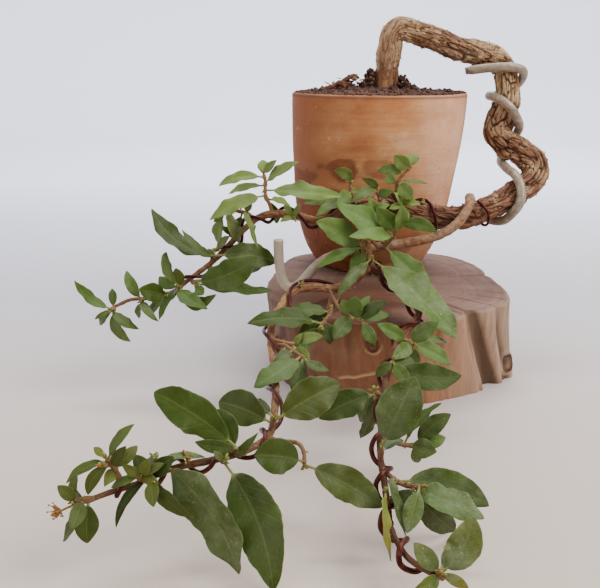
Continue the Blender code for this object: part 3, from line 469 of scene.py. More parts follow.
def logOutline(below):
    # the outline at even steps, wider by the flare and with a groove where bell(bearing) is near 1
    look = logLook
    ring = smoothRoute(look["outline"], look["spacing"], closed=True)
    even = np.linspace(0, len(ring) - 1, look["sides"], endpoint=False)
    ring = np.column_stack([np.interp(even, np.arange(len(ring)), axis) for axis in ring.T]) - look["centre"]
    bearing = np.arctan2(ring[:, 1], ring[:, 0])[None]
    swell = 1 + (look["footFlare"] - 1) * below ** 2 + 0.008 * np.sin(7 * bearing + 4 * (1 - below))
    cut = 0.0
    for middle, lean, depth, spread in look["grooves"]:
        apart = wrapped(bearing - middle - lean * below)
        cut = cut + depth * bell(apart, spread) * (0.55 + 0.45 * below)
    return ring[None], bearing, swell, cut


def logKnots(bearing, share):
    # each knot: a proud ring round a hollow, and a pale rim below it
    look = logLook
    relief, dark, rim = 0.0, 0.0, 0.0
    for middle, place, size, proud in look["knots"]:
        apart = wrapped(bearing - middle) * look["radius"]
        reach = np.hypot(apart / size, (share - place) * look["height"] / (1.3 * size))
        relief = relief + proud * (bell(reach - 1.0, 0.35) - 0.7 * bell(reach, 0.55))
        dark = np.maximum(dark, np.clip(bell(reach - 0.9, 0.24) + 0.6 * bell(reach, 0.5), 0, 1))
        rim = rim + bell(reach - 1.35, 0.18) * ease(place - share, -0.04, 0.08)
    return relief, dark, rim


def logSeam(bearing, height):
    # a pale seam that climbs across the front, off the straight line by a little noise
    seam = logLook["seam"]
    (first, low), (last, high) = seam["from"], seam["to"]
    climb = (bearing - first) / (last - first)
    level = low + climb * (high - low) + seam["sway"] * latticeNoise(climb * 7, 0, 27)
    fading = ease(climb, -0.08, 0.05) * ease(1 - climb, -0.08, 0.05)
    return bell(height - level, seam["half"]) * fading


def logTop(rim, bearing, shrink):
    # sawn top: the rim drawn in to the middle, with faint saw ridges and checks
    look = logLook
    middle = np.array([*look["centre"], look["height"]])
    top = middle + (rim - middle)[None] * shrink[..., None]
    dish = layeredNoise(top[..., 0] / 22, top[..., 1] / 22, 31, 0, 3)
    saw = np.sin(top[..., 0] * 1.1 + top[..., 1] * 2.3 + 3 * dish)
    checks = 0.0
    for groove, _lean, depth, _spread in look["grooves"]:
        apart = wrapped(bearing - groove) * shrink * look["radius"]
        checks = checks + min(depth, 2.0) * bell(apart, 0.7) * ease(shrink, 0.45, 0.95)
    seat = look["seat"]
    rough = ease(np.hypot(top[..., 0] - seat["x"], top[..., 1]), seat["from"], seat["to"])
    top[..., 2] -= (look["dish"] * (1 - dish) + look["saw"] * (1 - saw)) * rough + look["check"] * checks
    top[..., 2] = np.minimum(top[..., 2], look["height"])
    return top, checks


def makeLog(finish):
    look = logLook
    edgeShare = look["edge"] / look["height"]
    share = np.concatenate([np.linspace(0, 1 - edgeShare, look["sideRows"]),
                            1 - edgeShare * (1 - np.linspace(0, 1, 5)[1:])])[:, None]
    below = 1 - share
    height = share * look["height"]
    ring, bearing, swell, cut = logOutline(below)
    cells = look["cells"]
    around = bearing / tau * cells
    grain = layeredNoise(height / 26, around, 11, cells, 3)
    grain = grain + 0.5 * layeredNoise(height / 9, around * 3, 17, cells * 3, 2)
    waves = layeredNoise(height / 30, around / 8, 23, cells // 8, 2)
    knotRelief, knotDark, knotRim = logKnots(bearing, share)
    seamLine = logSeam(bearing, height)
    cut = cut - look["grain"] * grain - look["waves"] * waves - knotRelief - look["seam"]["proud"] * seamLine
    edge = ease(share, 1 - edgeShare, 1.0)
    inset = 1 - (1 - look["topInset"]) * (1 - np.sqrt(1 - edge ** 2 * 0.999))
    scale = (swell - cut / look["radius"]) * inset
    side = ring * scale[..., None] + look["centre"] + np.array(look["footShift"]) * below[..., None]
    side = np.concatenate([side, (height + 0 * bearing)[..., None]], -1)
    shrink = np.linspace(1, 0, look["topRows"] + 1)[1:-1, None]
    top, checks = logTop(side[-1], bearing, shrink)
    grid = np.concatenate([side, top])
    bare = np.zeros(top.shape[:2])
    sideMask = np.concatenate([np.ones(len(side) - 3), [0.7, 0.35, 0.1], np.zeros(len(top))])[:, None]
    depth = np.concatenate([ease(cut, 0.6, 3.6), ease(checks, 0.2, 1.2) + bare])
    # the middle and spread of the plant's painted shadow on the top
    plantShadowX, plantShadowY, plantShadowWide = look["worn"]
    solid = closedTube(
        grid, side=sideMask, groove=depth, bearing=0.5 + 0.5 * bearing / math.pi,
        ringShare=np.concatenate([np.ones(len(side)), shrink[:, 0]])[:, None],
        knot=np.concatenate([knotDark + 0 * cut, bare]),
        pale=np.concatenate([np.maximum(seamLine, 0.8 * knotRim) + 0 * cut, bare]),
        worn=bell(np.hypot(grid[..., 0] - plantShadowX, grid[..., 1] - plantShadowY), plantShadowWide))
    return makePiece("logSlice", [solid], [finish], ["log_slice"])


logPaint = {
    # round the side: purple grey at the left, which is painted shade, red brown in front, and tan grey at the
    # right, the weathered outer wood lightened by painted light
    "side": [(0.0, (0.16, 0.11, 0.09)), (0.10, (0.15, 0.085, 0.070)), (0.19, (0.235, 0.098, 0.050)),
             (0.29, (0.27, 0.125, 0.065)), (0.345, (0.36, 0.225, 0.150)), (0.46, (0.40, 0.30, 0.22)),
             (0.6, (0.24, 0.17, 0.13)), (0.8, (0.20, 0.13, 0.10)), (1.0, (0.16, 0.11, 0.09))],
    "fibre": (95, 6.0, 0.65, (1, 1, 0.09), 0.4),
    "streaks": [(0.30, 0.55), (0.50, 1.0), (0.72, 1.30)],
    "tanPatches": [(0.37, 0.23, 0.145), ((38, 4.0, 0.6), (0.42, 0.0), (0.68, 0.75)), 0.45],
    "darkPatches": [(0.075, 0.036, 0.022), ((60, 5.0, 0.6, (1, 1, 0.35)), (0.52, 0.0), (0.72, 0.7))],
    # the sawn top, with soft rings that follow the outline
    "rings": [(0.26, (0.140, 0.075, 0.054)), (0.50, (0.200, 0.118, 0.090)), (0.74, (0.255, 0.160, 0.124))],
    "smears": [(0.295, 0.188, 0.150), ((30, 5.0, 0.6, (0.45, 1.3, 1)), (0.42, 0.0), (0.62, 0.8))],
    "grime": [(0.115, 0.062, 0.046), ((24, 5.0, 0.6), (0.46, 0.0), (0.70, 0.75))],
    # painted shadow of the plant, darker and redder at the front left of the top
    "worn": [(0.140, 0.050, 0.024), "worn", 0.9],
    "knots": [(0.060, 0.026, 0.014), "knot"],
    "grooves": [(0.085, 0.048, 0.030), ("groove", (0.10, 0.0), (0.85, 0.85))],
    "resin": [(0.56, 0.36, 0.18), "pale", 0.9],
    "fineFibre": (420, 3.0, 0.6, (1, 1, 0.3)),
}


def logFinish():
    paint = logPaint
    finish, tree, principled = newFinish("weatheredLog", Roughness=0.80, Specular_IOR_Level=0.15)
    fibre = noiseOf(tree, *paint["fibre"])
    # the colour round the side holds painted shade at the left and painted light at the right
    side = rampOf(tree, valueOf(tree, "bearing"), *paint["side"])
    side = mixOf(tree, 0.85, side, rampOf(tree, fibre, *paint["streaks"]), "MULTIPLY")
    side = layersOver(tree, side, [paint["tanPatches"], paint["darkPatches"]])
    wobble = timesOf(tree, noiseOf(tree, 14, 3.0), 0.16)
    rings = node(tree, "CombineXYZ", {0: mathOf(tree, "ADD", valueOf(tree, "ringShare"), wobble)}).outputs[0]
    bands = node(tree, "TexNoise", {"Vector": rings, "Scale": 22.0, "Detail": 3.0, "Roughness": 0.6})
    top = rampOf(tree, bands.outputs["Fac"], *paint["rings"])
    # the top's last layer is the plant's painted shadow
    top = layersOver(tree, top, [paint["smears"], paint["grime"], paint["worn"]])
    colour = mixOf(tree, valueOf(tree, "side"), top, side)
    colour = layersOver(tree, colour, [paint["knots"], paint["grooves"], paint["resin"]])
    relief = reliefOf(tree, (fibre, 0.9), (paint["fineFibre"], 0.25))
    shade(tree, principled, Base_Color=colour, Normal=relief)
    return finish


makeLog(logFinish())
print("log slice")


# Terracotta pot

potLook = {
    "foot": 52.35, "rim": 174.0, "lean": -4.2, "sides": 240, "spacing": 1.3, "insideSpacing": 3.0,
    # height and radius, up the outside and down the inside; the crown is how far the rim is domed
    "outside": [(57.0, 40.8), (67.0, 46.4), (81.0, 51.0), (97.0, 54.6), (117.0, 56.9), (140.0, 59.2),
                (160.0, 60.2), (172.4, 60.5)],
    "inside": [(172.4, 54.9), (140.0, 53.8), (106.0, 50.6), (82.0, 46.2), (66.0, 40.6), (58.8, 31.0)],
    "crown": 1.6, "baseRadius": 36.0, "footEdge": (0.9, 1.6), "drainRadius": 6.0, "floor": 58.8,
    "ringStep": 3.4, "ringDepth": 0.12, "wobble": 0.5, "grit": 0.07, "rimWave": 0.45, "rimDip": 0.3,
    # damp stains: bearing from the front, height, half sizes, strength
    "stains": [(-76, 98, 36, 27, 0.95), (-34, 88, 34, 25, 0.85), (-25, 126, 9, 8, 0.9),
               (-2, 128, 11, 6, 0.55), (8, 82, 30, 20, 0.5), (-52, 62, 34, 10, 0.9),
               (150, 90, 60, 36, 0.8), (-150, 120, 30, 20, 0.6)],
    # pale blooms with painted highlight on the lit front right of the pot: the same, then how ragged they are
    # and where they start and are full
    "bloomsAndHighlights": [(44, 138, 34, 46, 1.0, 0.9, 0.20, 0.85), (34, 62, 40, 16, 0.7, 1.0, 0.3, 0.8)],
    "shaded": (-76, 56), "soot": (172.6, 1.6),
}


def leanOf(height):
    below = np.clip((potLook["rim"] - height) / (potLook["rim"] - potLook["foot"]), 0, 1)
    return potLook["lean"] * np.sin(0.5 * math.pi * below) ** 1.5


def potProfile():
    # height and radius: under the foot, up the outside, over the rim, down the inside and to the
    # drain; and how far the throwing rings show at each point
    look = potLook
    foot, base, drain = look["foot"], look["baseRadius"], look["drainRadius"]
    edgeUp, edgeOut = look["footEdge"]
    corner = [(foot, drain), (foot, base - 6), (foot, base), (foot + edgeUp, base + edgeOut)]
    outside = smoothRoute(look["outside"], look["spacing"])
    (top, outer), (_top, inner) = look["outside"][-1], look["inside"][0]
    over = np.linspace(0, math.pi, 9)[1:-1]
    crown = np.column_stack([top + look["crown"] * np.sin(over) ** 0.7,
                             0.5 * (outer + inner) + 0.5 * (outer - inner) * np.cos(over)])
    inside = smoothRoute(look["inside"], look["insideSpacing"])
    floorRun = [(look["floor"], 20.0), (look["floor"], drain)]
    wall = np.concatenate([np.zeros(len(corner)), np.ones(len(outside)), np.full(len(crown), 0.6),
                           np.zeros(len(inside) + len(floorRun))])
    return np.vstack([corner, outside, crown, inside, floorRun]), wall[:, None]


def potMarks(bearing, height, patch):
    # bells over bearing and height, roughened by the patches; a damp stain has a crisp dark edge
    look = potLook
    damp, tideMark, bloom = 0.0, 0.0, 0.0
    for middle, level, wide, high, strength in look["stains"]:
        apart = np.abs((bearing - middle + 180) % 360 - 180)
        stain = bell(apart, wide) * bell(height - level, high) + patch
        damp = np.maximum(damp, strength * ease(stain, 0.36, 0.52))
        tideMark = np.maximum(tideMark, strength * bell(stain - 0.42, 0.05))
    # pale bloom with painted highlight on the lit front right of the pot
    for middle, level, wide, high, strength, ragged, low, full in look["bloomsAndHighlights"]:
        stain = bell(bearing - middle, wide) * bell(height - level, high) + ragged * patch
        bloom = np.maximum(bloom, strength * ease(stain, low, full))
    middle, wide = look["shaded"]
    shaded = ease(bell(bearing - middle, wide) + 0.5 * patch, 0.1, 0.95)
    level, high = look["soot"]
    soot = ease(bell(height - level, high) + patch, 0.45, 0.95)
    return {"damp": damp, "tideMark": tideMark, "bloom": bloom, "shaded": shaded, "soot": soot}


def makePot(finish):
    # the closed profile carried round the axis; throwing rings are a sine of the height that
    # strengthens and fades, and the wall swells a little with the bearing
    look = potLook
    profile, wall = potProfile()
    height, radius = profile[:, :1], profile[:, 1:]
    turn = roundTurns(look["sides"])
    strength = 0.5 + 0.5 * latticeNoise(height / 14, turn / tau * 3, 41, 3)
    sway = 2 * latticeNoise(height / 9, turn / tau * 4, 42, 4)
    rings = look["ringDepth"] * strength * np.sin(tau * height / look["ringStep"] + sway)
    swell = look["wobble"] * latticeNoise(height / 45, turn / tau * 5, 43, 5)
    grit = look["grit"] * layeredNoise(height / 2.2, turn / tau * 150, 44, 150, 2)
    radius = radius + wall * (rings + swell + grit)
    nearRim = ease(height, 168, look["rim"])
    height = height + (look["rimWave"] * latticeNoise(0, turn / tau * 9, 45, 9) - look["rimDip"]) * nearRim
    grid = turnedRings(radius, turn, height, leanOf(height))
    patch = 0.35 * layeredNoise(height / 16, turn / tau * 14, 46, 14, 4)
    values = potMarks(np.degrees(wrapped(turn + math.pi / 2)), height, patch)
    values["soot"] = values["soot"] * wall
    values = {name: np.broadcast_to(value, grid.shape[:2]).ravel() for name, value in values.items()}
    solid = {"points": grid.reshape(-1, 3), "quads": ringQuads(*grid.shape[:2], closeRows=True),
             "triangles": np.empty((0, 3), int), "finish": 0, "values": values}
    return makePiece("terracottaPot", [solid], [finish], ["pot"])


clayPaint = {
    "clouds": (30, 5.0, 0.6, (1, 1, 1.6)),
    "clay": [(0.32, (0.38, 0.130, 0.045)), (0.46, (0.49, 0.200, 0.072)), (0.60, (0.55, 0.265, 0.108)),
             (0.70, (0.62, 0.35, 0.19))],
    "streaks": ((40, 5.0, 0.65, (0.5, 0.5, 3.0)), (0.34, 0.78), (0.66, 1.14)),
    # a colour and its masks, one laid over the next
    "layers": {
        "shaded": [(0.235, 0.078, 0.028), "shaded", 0.95],
        # pale pinkish bloom of the clay with painted highlight, on the lit front right
        "bloom": [(0.70, 0.405, 0.265), "bloom", ((42, 5.0, 0.65), (0.34, 0.35), (0.6, 0.95))],
        "damp": [(0.165, 0.042, 0.015), "damp", ((75, 5.0, 0.65), (0.3, 0.65), (0.6, 1.0))],
        "tideMark": [(0.090, 0.028, 0.012), "tideMark", 0.6],
        "specks": [(0.13, 0.055, 0.03), ((420, 2.0, 0.5), (0.66, 0.0), (0.74, 0.8)),
                   ((60, 2.0), (0.48, 0.0), (0.60, 1.0))],
        "salt": [(0.72, 0.46, 0.32), ((150, 4.0, 0.7), (0.62, 0.0), (0.78, 0.5))],
        "soot": [(0.14, 0.055, 0.030), "soot", 0.8]},
    "grit": ((900, 4.0, 0.6), 0.10), "wipeMarks": ((120, 4.0, 0.6, (0.5, 0.5, 5.0)), 0.22),
}


def clayFinish():
    paint = clayPaint
    finish, tree, principled = newFinish("terracotta", Roughness=0.82, Specular_IOR_Level=0.25)
    colour = rampOf(tree, noiseOf(tree, *paint["clouds"]), *paint["clay"])
    colour = mixOf(tree, 0.65, colour, maskOf(tree, paint["streaks"]), "MULTIPLY")
    colour = layersOver(tree, colour, paint["layers"].values())
    relief = reliefOf(tree, paint["grit"], paint["wipeMarks"])
    shade(tree, principled, Base_Color=colour, Normal=relief)
    return finish


makePot(clayFinish())
print("pot")


# Soil

soilLook = {
    "radius": 53.6, "rings": 74, "sides": 200, "floor": 60.0, "floorRadius": 28.0, "lump": 1.05, "grain": 1.1,
    # height and radius, over the crown and down inside the pot's wall
    "surface": [(175.2, 20.0), (174.9, 33.0), (174.3, 44.0), (173.3, 53.6)],
    "wall": [(140.0, 53.0), (106.0, 49.8), (82.0, 45.4), (66.0, 39.8)],
    # x and y of the middle, spread and rise
    "clumps": [(-8.0, 0.0, 5.5, 9.0), (19.0, 1.0, 5.5, 6.0), (8.0, -10.0, 5.0, 1.5)],
    "heap": (-27.0, -6.0),
    "crumbs": {"count": 1500, "size": (0.5, 2.1), "out": 52.0, "edge": 51.5, "heaped": 0.35, "spread": 8.4},
    "rimCrumbs": {"count": 620, "size": (0.35, 1.25), "ring": (52.5, 59.2), "level": 173.6},
    "chips": {"count": 74, "long": (2.4, 5.5), "wide": (0.2, 0.45), "thick": (0.35, 0.8),
              "spread": (6.5, 6.0), "edge": 50.0},
    "fibres": {"count": 40, "long": (2.0, 5.5), "thin": 0.22, "half": (45, 25), "lift": 0.8},
    # piles that hug the trunk: middle, half sizes and how many crumbs
    "piles": [((-6.5, -1.0, 180.0), (4.6, 5.5, 9.5), 190), ((16.5, -2.0, 178.0), (4.2, 5.0, 7.5), 130),
              ((22.0, -4.0, 176.0), (4.5, 4.5, 3.5), 60), ((-25.0, -8.0, 176.5), (11.0, 6.0, 2.5), 150)],
    # larger pieces of bark in the heap: middle, way of the long axis, half sizes
    "shards": [
        ((-34, -10, 177.6), (1, 0, 0.30), (7.5, 3.0, 1.8)),
        ((-28, -10, 179.8), (1, 0, 0.42), (8.0, 2.6, 1.9)),
        ((-23, -10, 182.6), (1, 0, 0.62), (6.0, 2.0, 1.5)),
        ((-19, -10, 185.4), (1, 0, 0.15), (3.6, 1.0, 0.6)),
        ((-27.8, -10, 183.2), (-1, 0, 0.15), (4.4, 0.4, 0.35)),
        ((-36, -10, 180), (-1, 0, 0.5), (4.2, 0.4, 0.4)),
        ((-24, -13, 178), (0.9, 0.3, 0.7), (5.5, 2.2, 1.4)),
        ((-40, -10, 175.8), (1, 0, 0.1), (5.0, 2.4, 1.2))],
}


def soilHeight(x, y):
    # the crown of the soil, with lumps and a heap beside the trunk wherever a bell is near 1
    look = soilLook
    reach = np.hypot(x, y)
    heights, radii = zip(*look["surface"])
    lumps = np.sin(0.31 * x + 1.0) * np.sin(0.27 * y) + 0.7 * np.sin(0.55 * x - 0.4 * y)
    grain = layeredNoise(x / 3.6, y / 3.6, 61, 0, 4) * ease(54 - reach, 0.0, 5.0)
    height = np.interp(reach, radii, heights) + look["lump"] * lumps + look["grain"] * grain
    for middleX, middleY, spread, rise in look["clumps"]:
        height = height + rise * bell(np.hypot(x - middleX, y - middleY), spread)
    return height


# a ball of 20 faces: its corners are those of three crossed rectangles, phi times as long as wide
phi = (1 + math.sqrt(5)) / 2
icoPoints = unit([(-1, phi, 0), (1, phi, 0), (-1, -phi, 0), (1, -phi, 0), (0, -1, phi), (0, 1, phi),
                  (0, -1, -phi), (0, 1, -phi), (phi, 0, -1), (phi, 0, 1), (-phi, 0, -1), (-phi, 0, 1)])
icoFaces = np.array([(0, 11, 5), (0, 5, 1), (0, 1, 7), (0, 7, 10), (0, 10, 11), (1, 5, 9), (5, 11, 4),
                     (11, 10, 2), (10, 7, 6), (7, 1, 8), (3, 9, 4), (3, 4, 2), (3, 2, 6), (3, 6, 8),
                     (3, 8, 9), (4, 9, 5), (2, 4, 11), (6, 2, 10), (8, 6, 7), (9, 8, 1)])


def lumpyShapes(draw, count, lumpy):
    # the ball with each corner in or out by up to lumpy
    return icoPoints[None] * (1 + draw.uniform(-lumpy, lumpy, (count, len(icoPoints), 1)))


def pebbles(draw, places, sizes, finish, tilt=math.pi, lumpy=0.28, **attributes):
    shapes = lumpyShapes(draw, len(places), lumpy)
    frames = randomFrames(draw, len(places), tilt)
    return scattered(shapes, icoFaces, places, frames, sizes, finish, **attributes)


def crumbSizes(draw, size):
    # half sizes of crumbs a little longer than wide
    count = len(size)
    return np.stack([size, size * draw.uniform(0.6, 1.0, count), size * draw.uniform(0.5, 0.9, count)], -1)


def chipSizes(draw, look, count):
    # half sizes of thin chips: a length, a share of it for the width, and a thickness
    long = draw.uniform(*look["long"], count)
    wide = long * draw.uniform(*look["wide"], count)
    return np.stack([long, wide, draw.uniform(*look["thick"], count)], -1)


def withinRing(x, y, radius):
    # places past the radius drawn in to it
    share = np.minimum(1.0, radius / np.maximum(np.hypot(x, y), 1e-6))
    return x * share, y * share


def onSoil(x, y, lift):
    return np.column_stack([x, y, soilHeight(x, y) + lift])


def soilBody():
    look = soilLook
    turn = roundTurns(look["sides"])
    top = turnedRings(look["radius"] * np.linspace(0, 1, look["rings"])[1:, None], turn, 0.0)
    top[..., 2] = soilHeight(top[..., 0], top[..., 1])
    heights, radii = np.array(look["wall"]).T[..., None]
    wall = turnedRings(radii, turn, heights, leanOf(heights))
    foot = turnedRings(look["floorRadius"], turn, look["floor"], potLook["lean"])
    return closedTube(np.concatenate([top, wall, foot])[::-1], pale=0.0)


def soilCrumbs(draw):
    # strewn evenly over the soil, but for a share of them in the heap at the left
    look, (heapX, heapY) = soilLook["crumbs"], soilLook["heap"]
    count = look["count"]
    around, out = draw.uniform(0, tau, count), look["out"] * np.sqrt(draw.uniform(0, 1, count))
    heaped = draw.uniform(0, 1, count) < look["heaped"]
    aside, back = draw.normal(0, look["spread"], (count, 2)).T
    x = np.where(heaped, heapX + aside, out * np.cos(around))
    y = np.where(heaped, heapY + back, out * np.sin(around))
    x, y = withinRing(x, y, look["edge"])
    size = draw.uniform(*look["size"], count) * draw.uniform(0.6, 1.0, count)
    sizes = crumbSizes(draw, size)
    return pebbles(draw, onSoil(x, y, 0.2 * size), sizes, 0, pale=draw.uniform(0, 0.5, count) ** 2)


def rimCrumbs(draw):
    look = soilLook["rimCrumbs"]
    count = look["count"]
    around, out = draw.uniform(0, tau, count), draw.uniform(*look["ring"], count)
    x, y = out * np.cos(around), out * np.sin(around)
    size = draw.uniform(*look["size"], count)
    seat = look["level"] + 0.5 * size - 0.8 * ease(out, 57.5, 59.5)
    seat = np.maximum(seat, soilHeight(x, y) * (out < 54.0))
    sizes = crumbSizes(draw, size)
    return pebbles(draw, np.column_stack([x, y, seat]), sizes, 0, pale=draw.uniform(0, 0.4, count) ** 2)


def pileCrumbs(draw, middle, half, count):
    # places inside an ellipsoid: a random direction * u ** (1/3)
    spots = unit(draw.normal(0, 1, (count, 3))) * draw.uniform(0.15, 1, (count, 1)) ** (1 / 3)
    sizes = draw.uniform(0.6, 2.0, (count, 1)) * draw.uniform(0.6, 1.0, (count, 3))
    return pebbles(draw, np.array(middle) + spots * half, sizes, 0, pale=draw.uniform(0, 0.45, count) ** 2)


def barkChips(draw):
    # flat chips that stick up in the heap, highest towards the trunk
    look, (heapX, heapY) = soilLook["chips"], soilLook["heap"]
    count = look["count"]
    spreadX, spreadY = look["spread"]
    x, y = heapX + draw.normal(0, spreadX, count), heapY + draw.normal(0, spreadY, count)
    x, y = withinRing(x, y, look["edge"])
    sizes = chipSizes(draw, look, count)
    lift = draw.uniform(0.2, 1.0, count) * (1.5 + 6.5 * ease(x, heapX - 6, heapX + 8))
    return pebbles(draw, onSoil(x, y, lift), sizes, 1, 1.2, 0.2, fissure=draw.uniform(0, 0.6, count),
                   reddish=draw.uniform(0.3, 1, count))


def barkFibres(draw):
    look = soilLook["fibres"]
    count = look["count"]
    x, y = (draw.uniform(-half, half, count) for half in look["half"])
    sizes = needleSizes(draw.uniform(*look["long"], count), look["thin"])
    places = onSoil(x, y, look["lift"])
    return pebbles(draw, places, sizes, 1, 0.7, 0.1, fissure=draw.uniform(0.4, 1, count))


def barkShards(draw):
    spots, ways, sizes = (np.array(part, float) for part in zip(*soilLook["shards"]))
    count = len(spots)
    x = unit(ways)
    z = unit(np.cross(x, (0.0, 1.0, 0.3)))
    shapes = lumpyShapes(draw, count, 0.35)
    return scattered(shapes, icoFaces, spots, np.stack([x, np.cross(z, x), z], 1), sizes, 1,
                     fissure=draw.uniform(0.15, 0.45, count), reddish=draw.uniform(0.85, 1, count))


def makeSoil(earth, chipBark):
    draw = np.random.default_rng(62)
    crumbs = [soilCrumbs(draw)]
    strewn = [rimCrumbs(draw)] + [pileCrumbs(draw, *pile) for pile in soilLook["piles"]]
    woody = [barkChips(draw), barkFibres(draw), barkShards(draw)]
    solids = [soilBody()] + crumbs + woody + strewn
    return makePiece("soilAndChips", solids, [earth, chipBark], ["soil"], flat=(1,))


earthPaint = {
    "clods": (260, 6.0, 0.65),
    "earth": [(0.35, (0.028, 0.009, 0.005)), (0.55, (0.080, 0.029, 0.016)), (0.75, (0.17, 0.068, 0.040))],
    "paleCrumbs": [(0.26, 0.155, 0.10), "pale"],
}


def earthFinish():
    finish, tree, principled = newFinish("dampSoil", Roughness=0.95)
    clods = noiseOf(tree, *earthPaint["clods"])
    colour = layersOver(tree, rampOf(tree, clods, *earthPaint["earth"]), [earthPaint["paleCrumbs"]])
    shade(tree, principled, Base_Color=colour, Normal=reliefOf(tree, (clods, 1.2)))
    return finish


# Bark, shared by trunk, limbs, flakes and chips

barkPaint = {
    "wide": (70, 5.0, 0.6), "fine": (620, 5.0, 0.65),
    "cork": [(0.34, (0.210, 0.105, 0.052)), (0.50, (0.330, 0.185, 0.098)), (0.66, (0.430, 0.265, 0.155))],
    "grain": [(0.30, 0.55), (0.52, 1.0), (0.72, 1.40)],
    # tan on the crests of the relief, and near black in the fissures
    "layers": {
        "crest": [(0.60, 0.430, 0.245), "crest", ((620, 5.0, 0.65), (0.32, 0.35), (0.6, 1.0))],
        "smooth": [(0.40, 0.245, 0.145), "smoothBark", 0.6],
        "reddish": [(0.150, 0.054, 0.033), "reddish"],
        "golden": [(0.40, 0.200, 0.075), "golden"],
        "scraped": [(0.58, 0.43, 0.28), "scraped"],
        "fissure": [(0.046, 0.020, 0.010), ("fissure", (0.08, 0.0), (0.45, 0.66), (1.0, 0.96))]},
}


def barkFinish():
    paint = barkPaint
    finish, tree, principled = newFinish("corkyBark", Roughness=0.88, Specular_IOR_Level=0.2)
    wide, fine = noiseOf(tree, *paint["wide"]), noiseOf(tree, *paint["fine"])
    colour = rampOf(tree, wide, *paint["cork"])
    colour = mixOf(tree, 0.8, colour, rampOf(tree, fine, *paint["grain"]), "MULTIPLY")
    colour = layersOver(tree, colour, paint["layers"].values())
    shade(tree, principled, Base_Color=colour, Normal=reliefOf(tree, (wide, 0.9), (fine, 0.45)))
    return finish


bark = barkFinish()
makeSoil(earthFinish(), bark)
print("soil")


# Trunk and limbs

trunkLook = {
    "route": [(5, 0, 136), (5, 0, 155), (5, 0, 173), (5, 0, 182), (6, -1, 194), (7, -2, 203),
              (8, -2, 211), (14, -2, 216), (25, -2, 213), (37, -2, 209), (50, -2, 204), (65, -2, 200),
              (77, -3, 196), (85, -5, 190), (87, -8, 181), (88, -10, 172), (86, -12, 164),
              (82, -15, 156), (80, -18, 148), (85, -22, 141), (94, -26, 136), (102, -30, 130),
              (104, -34, 123), (99, -38, 116), (88, -44, 110), (76, -51, 105), (64, -58, 101),
              (50, -64, 98), (35, -69, 99), (18, -73, 103), (5, -75, 107), (-7, -76, 111)],
    "radii": [(0.0, 8.3), (0.10, 9.6), (0.145, 7.0), (0.18, 7.9), (0.22, 7.6), (0.30, 7.8), (0.38, 7.8),
              (0.43, 7.1), (0.47, 7.4), (0.50, 8.8), (0.58, 8.9), (0.66, 8.6), (0.74, 7.8), (0.84, 7.6),
              (0.92, 6.8), (1.0, 5.0)],
    "sides": 160, "spacing": 0.66, "closing": 4.0,
    # it is smooth below this height, over its first millimetres
    "smoothBelow": 172.0, "smoothFirst": 45.0,
    # ridges: how many, their twist and phase, and how proud; knots: place, side and size
    "ridges": [(4, 0.045, 0.0, 0.070), (3, -0.090, 1.0, 0.050), (5, 0.160, 2.0, 0.045)],
    "knots": [(196.0, 3.4, 1.5), (61.0, 0.2, 2.0), (69.0, 2.6, -1.0), (240.0, 1.0, 1.2), (128.0, 2.2, 0.9),
              (152.0, 4.6, 1.0), (286.0, 5.2, 1.1)],
    "plates": 0.95, "fissures": 1.1, "cells": 20, "stretch": 15.0, "loopRough": (0.55, 70),
    # parts of another kind: their place along the trunk, spread and strength
    "parts": {"calm": (62, 26, 0.55), "foot": (44, 10, 1.5), "end": (322, 42, 1.6),
              "underArm": (268, 24, 1.0), "lowerBend": (225, 34, 0.45), "upperArm": (112, 24, 1.0),
              "scrape": (268, 7, 1.0), "golden": (43, 7, 0.40)},
    "scrapedSide": 250,
    "flakes": {"count": 620, "rows": (0.12, 0.97), "under": (100, 60), "long": (0.7, 2.4),
               "wide": (0.25, 0.6), "thick": (0.12, 0.3), "lean": (0.1, 0.9), "lift": 0.15},
}
